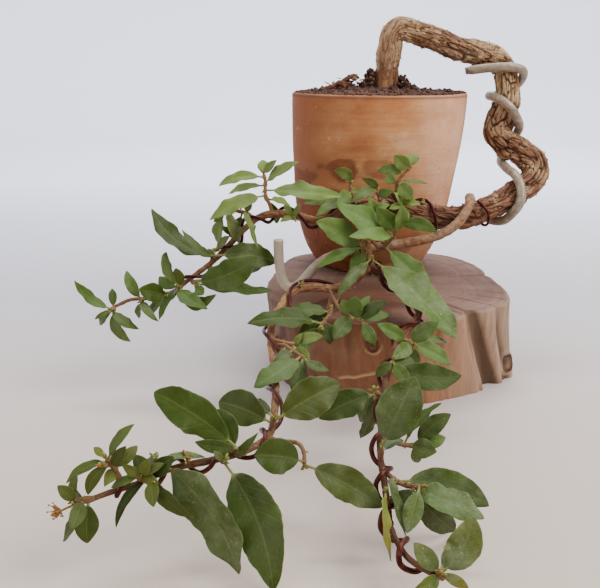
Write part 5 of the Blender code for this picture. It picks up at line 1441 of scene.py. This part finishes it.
        (0.13, (24, 8, -4), 6, -20, 0.1, -0.2, 0.03), (1.0, (3, 4, -14), 6, 20)]),
    ("front_pair_upper", "front", 100, (0.5, 0.3, 0), [(2, -3, 7)], [
        (0.27, (13, 8, 0), 9, -5, 0.08), (0.52, (34, -10, -2), 14, 20, 0.04, 0, 0.1),
        (0.76, (8, -10, -8), 7, 15), (1.0, (-9, -2, -8), 6, -10)]),
    ("front_pair_left", "front", 122, (0.25, 0.15, 0), [(-5, -1, 5)], [
        (0.47, (-29, -7, -10), 14, -15, 0.06, 0.2, 0.06), (0.74, (-7, 10, -21), 9, 25),
        (1.0, (-6, 4, -28), 10, -40)]),
    ("front_side_shoot", "front", 145, (0.55, 0.25, 0), [(7, -4, -4), (13, -4, -5), (17, -4, -5)], [
        (0.92, (16, 2, 15), 9, 5, 0.08, 0, -0.06), (1.0, (13, 2, 3), 7, 10), (0.76, (11, -8, 1), 9, 15),
        (0.6, (17, 5, 19), 8, -55), (0.84, (4, 5, -12), 5, 25, 0.1, -0.2)]),
    ("front_broad_leaf", "front", 166, (0.08, 0.45, 0), [(0, -1, 7)], [
        (1.0, (14, 4, 32), 19, 0, 0.06, 0.2, -0.01), (0.5, (11, 14, -1), 7, -30)]),
    ("front_drooping_spray", "front", 171, (0.35, 0.65, 0), [(4, -9, 0), (8, -15, 1), (13, -21, 4)], [
        (0.3, (36, -12, -4), 14, 10, 0.08, 0.1, -0.09), (0.6, (29, -16, -5), 13, -20, 0.08, 0.3, 0.04),
        (1.0, (-7, -17, -10), 8, 5, 0.05, 0.3), (0.9, (-9, 6, -14), 8, -5, 0.1, 0.2),
        (0.7, (21, 3, -24), 12, 15, 0.06, 0.3, 0.04), (0.15, (2, -27, -9), 8, -50, 0.1, 0, 0.26)]),
    ("front_hanging_pair", "front", 194, (0.4, 0, 0.8), [(-1, -1, 7)], [
        (1.0, (0, -22, -16), 7, -55, 0.1, 0, 0.28)]),
    ("front_tip", "front", 239, (0.45, 0.95, 0), [(-2, -3, 5)], [
        (0.38, (-9, 6, 9), 7, -10, 0.12), (0.58, (12, 7, 19), 12, -5, 0.06, 0.2, 0.1),
        (0.17, (-11, -8, 0), 6, -25), (0.79, (10, -3, -4), 4, 5), (1.0, (8, 17, -2), 7, 10)]),
]


leafLook = {
    "petioleShare": 0.13, "petioleWidth": 1.1, "endWidth": 0.3, "thickness": 0.45, "around": 24,
    "widest": 0.46, "shift": 0.14, "fullness": 0.64, "notch": 0.12, "wave": 0.026,
    "waves": (1.7, 3.4, 2.1, 3.9), "fold": 0.20, "foldSpread": 0.10, "hook": 0.10, "crease": 0.30,
    "quilt": 0.08, "veins": 4.0, "slant": 0.9,
    # leaves up to the first length are young, and past the second full grown
    "young": (6.0, 16.0), "youth": 0.55, "youngSpread": 0.10, "toneSpread": 0.13, "dustAndSheenSpread": 0.12,
}
twigLook = {
    "radii": [(0.0, 1.2), (1.0, 0.8)], "clear": 0.35, "spacing": 5.0, "fineSpacing": 0.8, "sides": 12,
    "knob": (0.35, 0.9), "buds": (6, 2.4), "sideBuds": (3, 1.9, 0.8), "budsFrom": 0.35, "budStep": 5.0,
}

# shoots whose leaves are yellow towards their ends, and how much at most
yellowEnds = {"front_hanging_pair": 1.3, "front_tip": 0.20}


def bladeFrame(reach, roll):
    # directions across a leaf and out of its upper face, rolled about its length
    along = unit(reach)
    face = unit(faceDirection - along * np.dot(faceDirection, along))
    turn = math.radians(roll)
    face = face * math.cos(turn) + np.cross(along, face) * math.sin(turn)
    return np.cross(along, face), face


def bladeHalf(blade, length, width, form, side, drift):
    # half width: a sine whose crest is moved along by the power of the share, drawn out at the tip
    look = leafLook
    skew = math.log(0.5) / math.log(look["widest"] + look["shift"] * form)
    fullness = look["fullness"] - 0.12 * form + 0.10 * blade ** 2
    half = 0.5 * width * np.sin(math.pi * blade ** skew) ** fullness
    uneven = layeredNoise(blade * length / 5.0 + 40 * drift[0], 3 * np.sign(side) + 20 * drift[1], 60)
    return half * (1 + look["notch"] * uneven * ease(half, 1, 6))


def bladeLift(blade, length, half, side, drift):
    # how far the blade stands out of its plane: a wave at the margin, the fold, a hook at the tip,
    # the crease of the midrib and a quilt between the side veins
    look = leafLook
    wide = np.minimum(1, half / 5)
    waves = [np.sin(tau * (count * blade + start)) for count, start in zip(look["waves"], drift[2:6])]
    margin = np.where(side > 0, waves[0] + 0.5 * waves[1], waves[2] + 0.5 * waves[3])
    ripple = look["wave"] * length * margin * wide * side ** 2
    slope = look["fold"] + look["foldSpread"] * (drift[6] - 0.5)
    fold = slope * np.sqrt((half * side) ** 2 + 0.04) * (1 - 0.4 * blade)
    hook = -look["hook"] * length * drift[7] * np.clip(blade - 0.7, 0, 1) ** 1.5
    crease = -look["crease"] * ease(half, 1, 5) * bell(side, 0.12)
    saw = np.cos(tau * (look["veins"] * blade - look["slant"] * np.abs(side)))
    quilt = -look["quilt"] * (1 - np.abs(saw)) * wide * ease(1 - np.abs(side), 0.05, 0.3)
    return ripple + fold + hook + crease + quilt


def leafSolid(root, leaf, tones, draw):
    # a flattened tube: along it the midrib is a parabola through root, crest and tip; round it the
    # point is half * cos(turn) across, and the lift and half the thickness * sin(turn) out of the face
    look = leafLook
    _share, reach, width, roll, rise, form, sway = leaf + usualLeaf[len(leaf) - 4:]
    reach = np.asarray(reach, float)
    length = np.linalg.norm(reach)
    across, face = bladeFrame(reach, roll)
    step = np.linspace(0, 1, round(18 + 0.8 * length))[:, None]
    share = 0.4 * step + 0.6 * (0.5 - 0.5 * np.cos(math.pi * step))
    turn = roundTurns(look["around"])
    side = np.cos(turn) + 0 * share
    bent = root + 0.5 * reach + (face * rise + across * sway) * (2 * length)
    middle = (1 - share) ** 2 * root + 2 * share * (1 - share) * bent + share ** 2 * (root + reach)
    beside = unit(np.cross((1 - share) * (bent - root) + share * (root + reach - bent), face))
    petiole = look["petioleShare"]
    blade = np.clip((share - petiole) / (1 - petiole), 0, 1)
    drift = draw.uniform(0, 1, 8)
    half = bladeHalf(blade, length, width, form, side, drift)
    stalk = 0.5 * np.where(share <= petiole, look["petioleWidth"], look["endWidth"])
    half = np.sqrt(half ** 2 + stalk ** 2 * (1 - blade) + 0.02)
    thick = 0.5 * np.where(blade > 0, look["thickness"] + 0.5 * (1 - blade) ** 4, look["petioleWidth"])
    lift = bladeLift(blade, length, half, side, drift) - thick * np.sin(turn)
    rings = middle[:, None] + beside[:, None] * (half * side)[..., None] + face * lift[..., None]
    tone, dust, fresh, yellow = tones
    age = fresh + look["youth"] * (1 - ease(length, *look["young"])) + draw.normal(0, look["youngSpread"])
    yellow = yellow * draw.uniform(0, 1)
    tone = np.clip(tone + draw.normal(0, look["toneSpread"]), 0, 1)
    dust = np.clip(dust + draw.normal(0, look["dustAndSheenSpread"]), 0, 1)
    return closedTube(rings, 0, leafSide=side, leafShare=blade, young=np.clip(age, 0, 1), yellow=yellow,
                      tone=tone, dust=dust, stalk=1 - ease(blade, 0.0, 0.04), chance=draw.uniform(0, 1))


def budSolids(draw, place, outward, count, size, gold=0.5):
    # a tuft of small pointed scales that spread from one place
    x = unit(np.asarray(outward) + draw.normal(0, 0.55, (count, 3)))
    frames = framesAlong(x, draw.normal(0, 1, (count, 3)))
    long = size * draw.uniform(0.55, 1.0, count)
    sizes = np.stack([long, 0.34 * long, 0.20 * long], -1)
    return scattered(icoPoints, icoFaces, place + 0.8 * x * long[:, None], frames, sizes, 0, bud=gold,
                     tone=draw.uniform(0, 1, count), chance=draw.uniform(0, 1, count), young=1.0,
                     leafShare=0.5, leafSide=0.5, dust=0.0)


def twigStart(base, toward, radius, tree):
    # the first place, going out from the limb's middle, where the twig's end clears the bark
    direction = unit(toward)
    across = unit(np.cross(direction, (0.3, 0.2, 1.0)))
    beside = np.cross(direction, across)
    turns = roundTurns(8).T
    rim = np.vstack([[0, 0, 0], radius * (across * np.cos(turns) + beside * np.sin(turns))])
    for reach in np.arange(1.0, 30.0, 0.1):
        nearest = [(point, *tree.find_nearest(point)) for point in base + direction * reach + rim]
        if all(distance >= twigLook["clear"] and np.dot(point - np.array(place), normal) >= 0
               for point, place, normal, _face, distance in nearest):
            return base + direction * reach
    raise ValueError("a twig never leaves the bark")


def pieceName(name):
    first, *rest = name.split("_")
    return first + "".join(word.capitalize() for word in rest)


def twigSolid(number, base, line, leaves, fresh):
    # from inside the limb to the tip, with a knob at each leaf and a rounded end
    look = twigLook
    grown = smoothRoute(np.vstack([base, line]), look["fineSpacing"])
    along = distancesAlong(grown)[:, None]
    left, total = along[-1] - along, distancesAlong(line)[-1]
    girth = tableAlong(look["radii"], grown)[:, None] * (1 + 0.05 * np.sin(2.1 * along + number))
    proud, long = look["knob"]
    for leaf in leaves:
        girth = girth + proud * bell((1 - leaf[0]) * total - left, long)
    girth = girth * np.sqrt(np.clip(left / long, 0.15, 1))
    return closedTube(tubeRings(grown, girth, roundTurns(look["sides"])), 1, fissure=0.32 - 0.2 * fresh,
                      smoothBark=0.5, reddish=0.42, golden=0.15 + 0.5 * fresh)


def makeShoot(number, row, tree, finishes):
    look = twigLook
    name, limb, at, tones, bends, leaves = row
    draw = np.random.default_rng(200 + number)
    base = pointAlong(woodLine(limb)[0], at)
    start = twigStart(base, bends[0], look["radii"][0][1], tree)
    line = smoothRoute(np.vstack([start, base + np.asarray(bends, float)]), look["spacing"])
    total = distancesAlong(line)[-1]
    tones = (*tones, yellowEnds.get(name, 0.0))
    solids = [leafSolid(pointAlong(line, leaf[0] * total), leaf, tones, draw) for leaf in leaves]
    solids.append(twigSolid(number, base, line, leaves, tones[2]))
    direction = unit(line[-1] - line[-2])
    solids.append(budSolids(draw, line[-1], direction, *look["buds"]))
    for share in np.arange(look["budsFrom"], 0.9, look["budStep"] / max(total, 6.0)):
        out = unit(np.cross(direction, draw.normal(0, 1, 3)))
        solids.append(budSolids(draw, pointAlong(line, share * total), out, *look["sideBuds"]))
    nodes = [name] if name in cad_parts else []
    return makePiece(pieceName(name) + "Leaves", solids, finishes, nodes)


leafPaint = {
    # dark and vivid, full grown and young
    "mature": [(0.0, (0.022, 0.038, 0.003)), (0.3, (0.035, 0.057, 0.004)), (0.6, (0.051, 0.092, 0.008)),
               (1.0, (0.074, 0.146, 0.018))],
    "fresh": [(0.0, (0.158, 0.160, 0.024)), (0.5, (0.142, 0.185, 0.028)), (1.0, (0.168, 0.246, 0.044))],
    "mottle": (150, 4.0, 0.6), "mottled": [(0.3, 0.72), (0.5, 1.0), (0.7, 1.28)],
    # veins and rim are bands over the saw of the veins and over the way out from the midrib
    "veins": [(0.38, 0.0), (0.5, 1.0), (0.62, 0.0)], "rib": [(0.010, 1.0), (0.075, 0.0)],
    "rim": [(0.90, 0.0), (1.0, 0.30)], "veinTint": (0.20, 0.24, 0.06), "ribTint": (0.20, 0.24, 0.07),
    "rimTint": (0.20, 0.22, 0.07),
    # dust with a painted grey sheen lies in patches, thicker on one half of the blade, with grains of its own
    "dust": (0.240, 0.272, 0.160), "dustAndSheenHalf": ("leafSide", (0.0, 1.0), (1.0, 0.55)),
    "dustAndSheenPatch": ((70, 5.0, 0.7), (0.38, 0.0), (0.64, 1.0)),
    "grains": [(0.42, 0.42, 0.33), ((900, 2.0, 0.5), (0.66, 0.0), (0.72, 1.0)), "dust", 0.5],
    "scars": [(0.20, 0.095, 0.035), ((130, 3.0, 0.6), (0.71, 0.0), (0.74, 1.0)), 0.75],
    "yellow": (0.42, 0.26, 0.035), "yellowing": [(0.25, 0.0), (0.9, 0.9)],
    "stalk": [(0.22, 0.22, 0.07), "stalk"],
    "bud": ("chance", (0.0, (0.24, 0.07, 0.02)), (0.35, (0.30, 0.17, 0.04)), (0.7, (0.33, 0.30, 0.08)),
            (1.0, (0.20, 0.26, 0.07))),
    "rough": [(0.3, 0.40), (0.7, 0.54)],
}


def leafFinish():
    paint = leafPaint
    finish, tree, principled = newFinish("cherryLeaf", Specular_IOR_Level=0.20)
    tone, share = valueOf(tree, "tone"), valueOf(tree, "leafShare")
    flank = mathOf(tree, "ABSOLUTE", valueOf(tree, "leafSide"))
    mottle = noiseOf(tree, *paint["mottle"])
    mature, fresh = rampOf(tree, tone, *paint["mature"]), rampOf(tree, tone, *paint["fresh"])
    colour = mixOf(tree, valueOf(tree, "young"), mature, fresh)
    colour = mixOf(tree, 0.55, colour, rampOf(tree, mottle, *paint["mottled"]), "MULTIPLY")
    # side veins: a saw of share * veins - |side| * slant, with a narrow crest in each tooth
    slant = timesOf(tree, flank, 2 * leafLook["slant"])
    saw = mathOf(tree, "SUBTRACT", timesOf(tree, share, 2 * leafLook["veins"]), slant)
    veins = rampOf(tree, mathOf(tree, "FRACT", saw), *paint["veins"])
    rib, rim = rampOf(tree, flank, *paint["rib"]), rampOf(tree, flank, *paint["rim"])
    # dust and painted sheen: grey laid over the leaf by the shoot's amount, one half of the blade and a patch
    # noise
    dustAndSheenCover = timesOf(tree, *[maskOf(tree, mask) for mask in ("dust", paint["dustAndSheenHalf"], paint["dustAndSheenPatch"])])
    ends = rampOf(tree, mathOf(tree, "ADD", share, timesOf(tree, flank, 0.3)), *paint["yellowing"])
    colour = layersOver(tree, colour, [
        [paint["veinTint"], veins, 0.022], [paint["ribTint"], rib, 0.22], [paint["dust"], dustAndSheenCover, 0.62],
        paint["grains"], [paint["rimTint"], rim], paint["scars"], [paint["yellow"], "yellow", ends],
        paint["stalk"], [maskOf(tree, paint["bud"]), "bud"]])
    rough = mathOf(tree, "ADD", rampOf(tree, mottle, *paint["rough"]), timesOf(tree, dustAndSheenCover, 0.3))
    height = mathOf(tree, "SUBTRACT", timesOf(tree, mottle, 0.5), timesOf(tree, veins, 0.3))
    shade(tree, principled, Base_Color=colour, Roughness=rough, Normal=reliefOf(tree, (height, 0.22)))
    return finish


# small tufts too fine for the part's solids, written as the rows above
tuftRows = [
    ("lower_tuft_inner", "lower", 250, (0.25, 0.05, 0.1), [(1, -2, 4)], [
        (0.9, (10, -2, 7), 4, 0), (1.0, (4, -2, 9), 5, 10, 0.1, 0, 0.05), (1.0, (-6, -3, 7), 4, -10, 0.15),
        (0.8, (-11, -3, -3), 4, 10, 0.15), (0.9, (8, -5, 0), 4, 0)]),
    ("upper_tuft", "upper", 98, (0.3, 0.2, 0), [(-2, -3, 3)], [
        (0.9, (-8, -3, -9), 6, 15, 0.1, 0, 0.05), (1.0, (-6, -3, 6), 4, 0, 0.15), (1.0, (9, -3, 5), 4, 0)]),
    ("lower_golden_tuft", "lower", 100, (0.85, 0.2, 0.75), [(6, -4, 0), (14, -6, -1)], [
        (1.0, (14, -3, 6), 6, 20, 0.25, 0.2, -0.1), (0.9, (-7, -4, -9), 5, 0),
        (1.0, (7, -4, -8), 5, 0, 0.12), (0.8, (10, -6, -9), 4, 30), (1.0, (3, -4, 8), 4, 0, 0.2)]),
    ("crown_tuft", "trunk", 358, (0.8, 0.2, 0.7), [(0, -8, 3)], [
        (1.0, (-6, -4, 9), 5, 0, 0.15), (1.0, (5, -4, 8), 5, 0, 0.15), (0.9, (10, -5, 2), 5, 0, 0.2),
        (0.9, (-9, -5, -1), 5, 0, 0.15), (0.8, (3, -6, -8), 4, 0)]),
    ("fork_tuft", "fork", 25, (0.85, 0.15, 0.45), [(2, -6, 1)], [
        (1.0, (-9, -3, 6), 5, 0, 0.2), (1.0, (8, -3, 7), 5, 0, 0.2), (0.9, (-3, -4, 9), 5, 0, 0.2),
        (0.9, (10, -5, -3), 4, 0, 0.15)]),
    ("fork_tuft_upper", "fork", 11, (0.8, 0.2, 0.35), [(0, -8, 2)], [
        (1.0, (-11, -3, 4), 6, 0, 0.2), (1.0, (9, -4, 6), 6, 0, 0.2), (0.9, (-4, -4, 11), 5, 0, 0.2),
        (0.9, (6, -5, -9), 5, 0, 0.15), (0.8, (-9, -5, -7), 5, 0, 0.15)]),
]
# tufts of bud scales: place, direction, how many, size and how golden
budRows = [
    ((-80.8, -250, 30.0), (0, -1, 1), 9, 3.0, 1.0), ((-3.1, -95, 88.3), (0, -1, 0.5), 9, 3.2, 1.0),
    ((-130.3, -286, 45.0), (0, -0.6, 1), 8, 3.0, 1.0), ((23.3, -75, 109.0), (0, -0.4, 1), 5, 2.6, 0.4),
    ((-100.0, -273, 41.0), (0, -1, 1), 10, 3.4, 1.0), ((-112.0, -278, 40.0), (0.2, -1, 0.8), 8, 3.0, 1.0),
    ((-55.0, -116, 68.0), (0.3, -1, 0.5), 8, 2.6, 0.9),
    ((-104.0, -102, 85.0), (-0.5, -1, 0.8), 8, 3.0, 0.9),
]
flowerLook = {
    "stalk": [(-136.5, -286.5, 31.0), (-141.95, -288.25, 30.25), (-147.4, -290.0, 28.3)], "stalkRadius": 0.45,
    "scales": (12, 2.6, 1.0), "filaments": 13, "long": (3.0, 5.5), "thin": 0.24, "knob": 0.42, "redness": 0.3,
}
# limbs that the fluff hangs from, and from where to where along them
fluffLook = {
    "limbs": [("lower", 3.0, 24.0), ("front", 2.0, 16.0), ("fork", 30.0, 46.0)], "each": 86,
    "long": (0.9, 2.6), "thin": 0.16, "drop": (0.6, 3.0), "aside": 1.2,
}


def makeFlower(finish):
    # a spent flower at the lower tip: red scales, and thin filaments with knobs that spread left
    look = flowerLook
    draw = np.random.default_rng(301)
    stalk = tubeRings(smoothRoute(look["stalk"], 0.6), look["stalkRadius"], roundTurns(10))
    at, count = np.array(look["stalk"][-1]), look["filaments"]
    scales = budSolids(draw, at, (-1, -0.5, 0), *look["scales"])
    scales["values"]["chance"] *= look["redness"]
    x = unit(np.array((-1.0, -0.3, 0.0)) + draw.normal(0, 0.45, (count, 3)))
    frames = framesAlong(x, draw.normal(0, 1, (count, 3)))
    half = 0.5 * draw.uniform(*look["long"], count)
    middles, sizes = at + x * half[:, None], needleSizes(half, look["thin"])
    threads = scattered(icoPoints, icoFaces, middles, frames, sizes, 0, bud=1.0, chance=0.15)
    ends, sizes = at + 2 * x * half[:, None], np.full((count, 3), look["knob"])
    chance = draw.uniform(0.1, 0.6, count)
    knobs = scattered(icoPoints, icoFaces, ends, frames, sizes, 0, bud=1.0, chance=chance)
    solids = [closedTube(stalk, bud=0.9, chance=look["redness"]), scales, threads, knobs]
    return makePiece("lowerTipFlower", solids, [finish], flat=(0,))


def makeBudTufts(finish):
    draw = np.random.default_rng(303)
    solids = [budSolids(draw, np.array(place), *rest) for place, *rest in budRows]
    return makePiece("budTufts", solids, [finish])


def makeBarkFluff(finish):
    # loose fibres of bark that hang under the fork
    look = fluffLook
    draw = np.random.default_rng(307)
    solids, count = [], look["each"]
    for limb, low, high in look["limbs"]:
        wood, girth = woodLine(limb)
        at = draw.uniform(low, high, count)
        places = pointAlong(wood, at)
        below = 0.8 * np.interp(at, distancesAlong(wood), girth)
        places[:, 2] -= below + 0.3 * draw.uniform(*look["drop"], count) ** 2
        places[:, :2] += draw.normal(0, look["aside"], (count, 2))
        sizes = needleSizes(draw.uniform(*look["long"], count), look["thin"])
        solids.append(pebbles(draw, places, sizes, 0, crest=draw.uniform(0.3, 1, count)))
    return makePiece("barkFluff", solids, [finish], flat=(0,))


leafFinishes = [leafFinish(), bark]
barkTree = searchTree(["trunk"])
for shootNumber, shootRow in enumerate(shootRows + tuftRows):
    makeShoot(shootNumber, shootRow, barkTree, leafFinishes)
print("leafy shoots:", len(shootRows), "and tufts:", len(tuftRows))
makeFlower(leafFinishes[0])
makeBudTufts(leafFinishes[0])
makeBarkFluff(bark)
print("flower, buds and bark fluff")
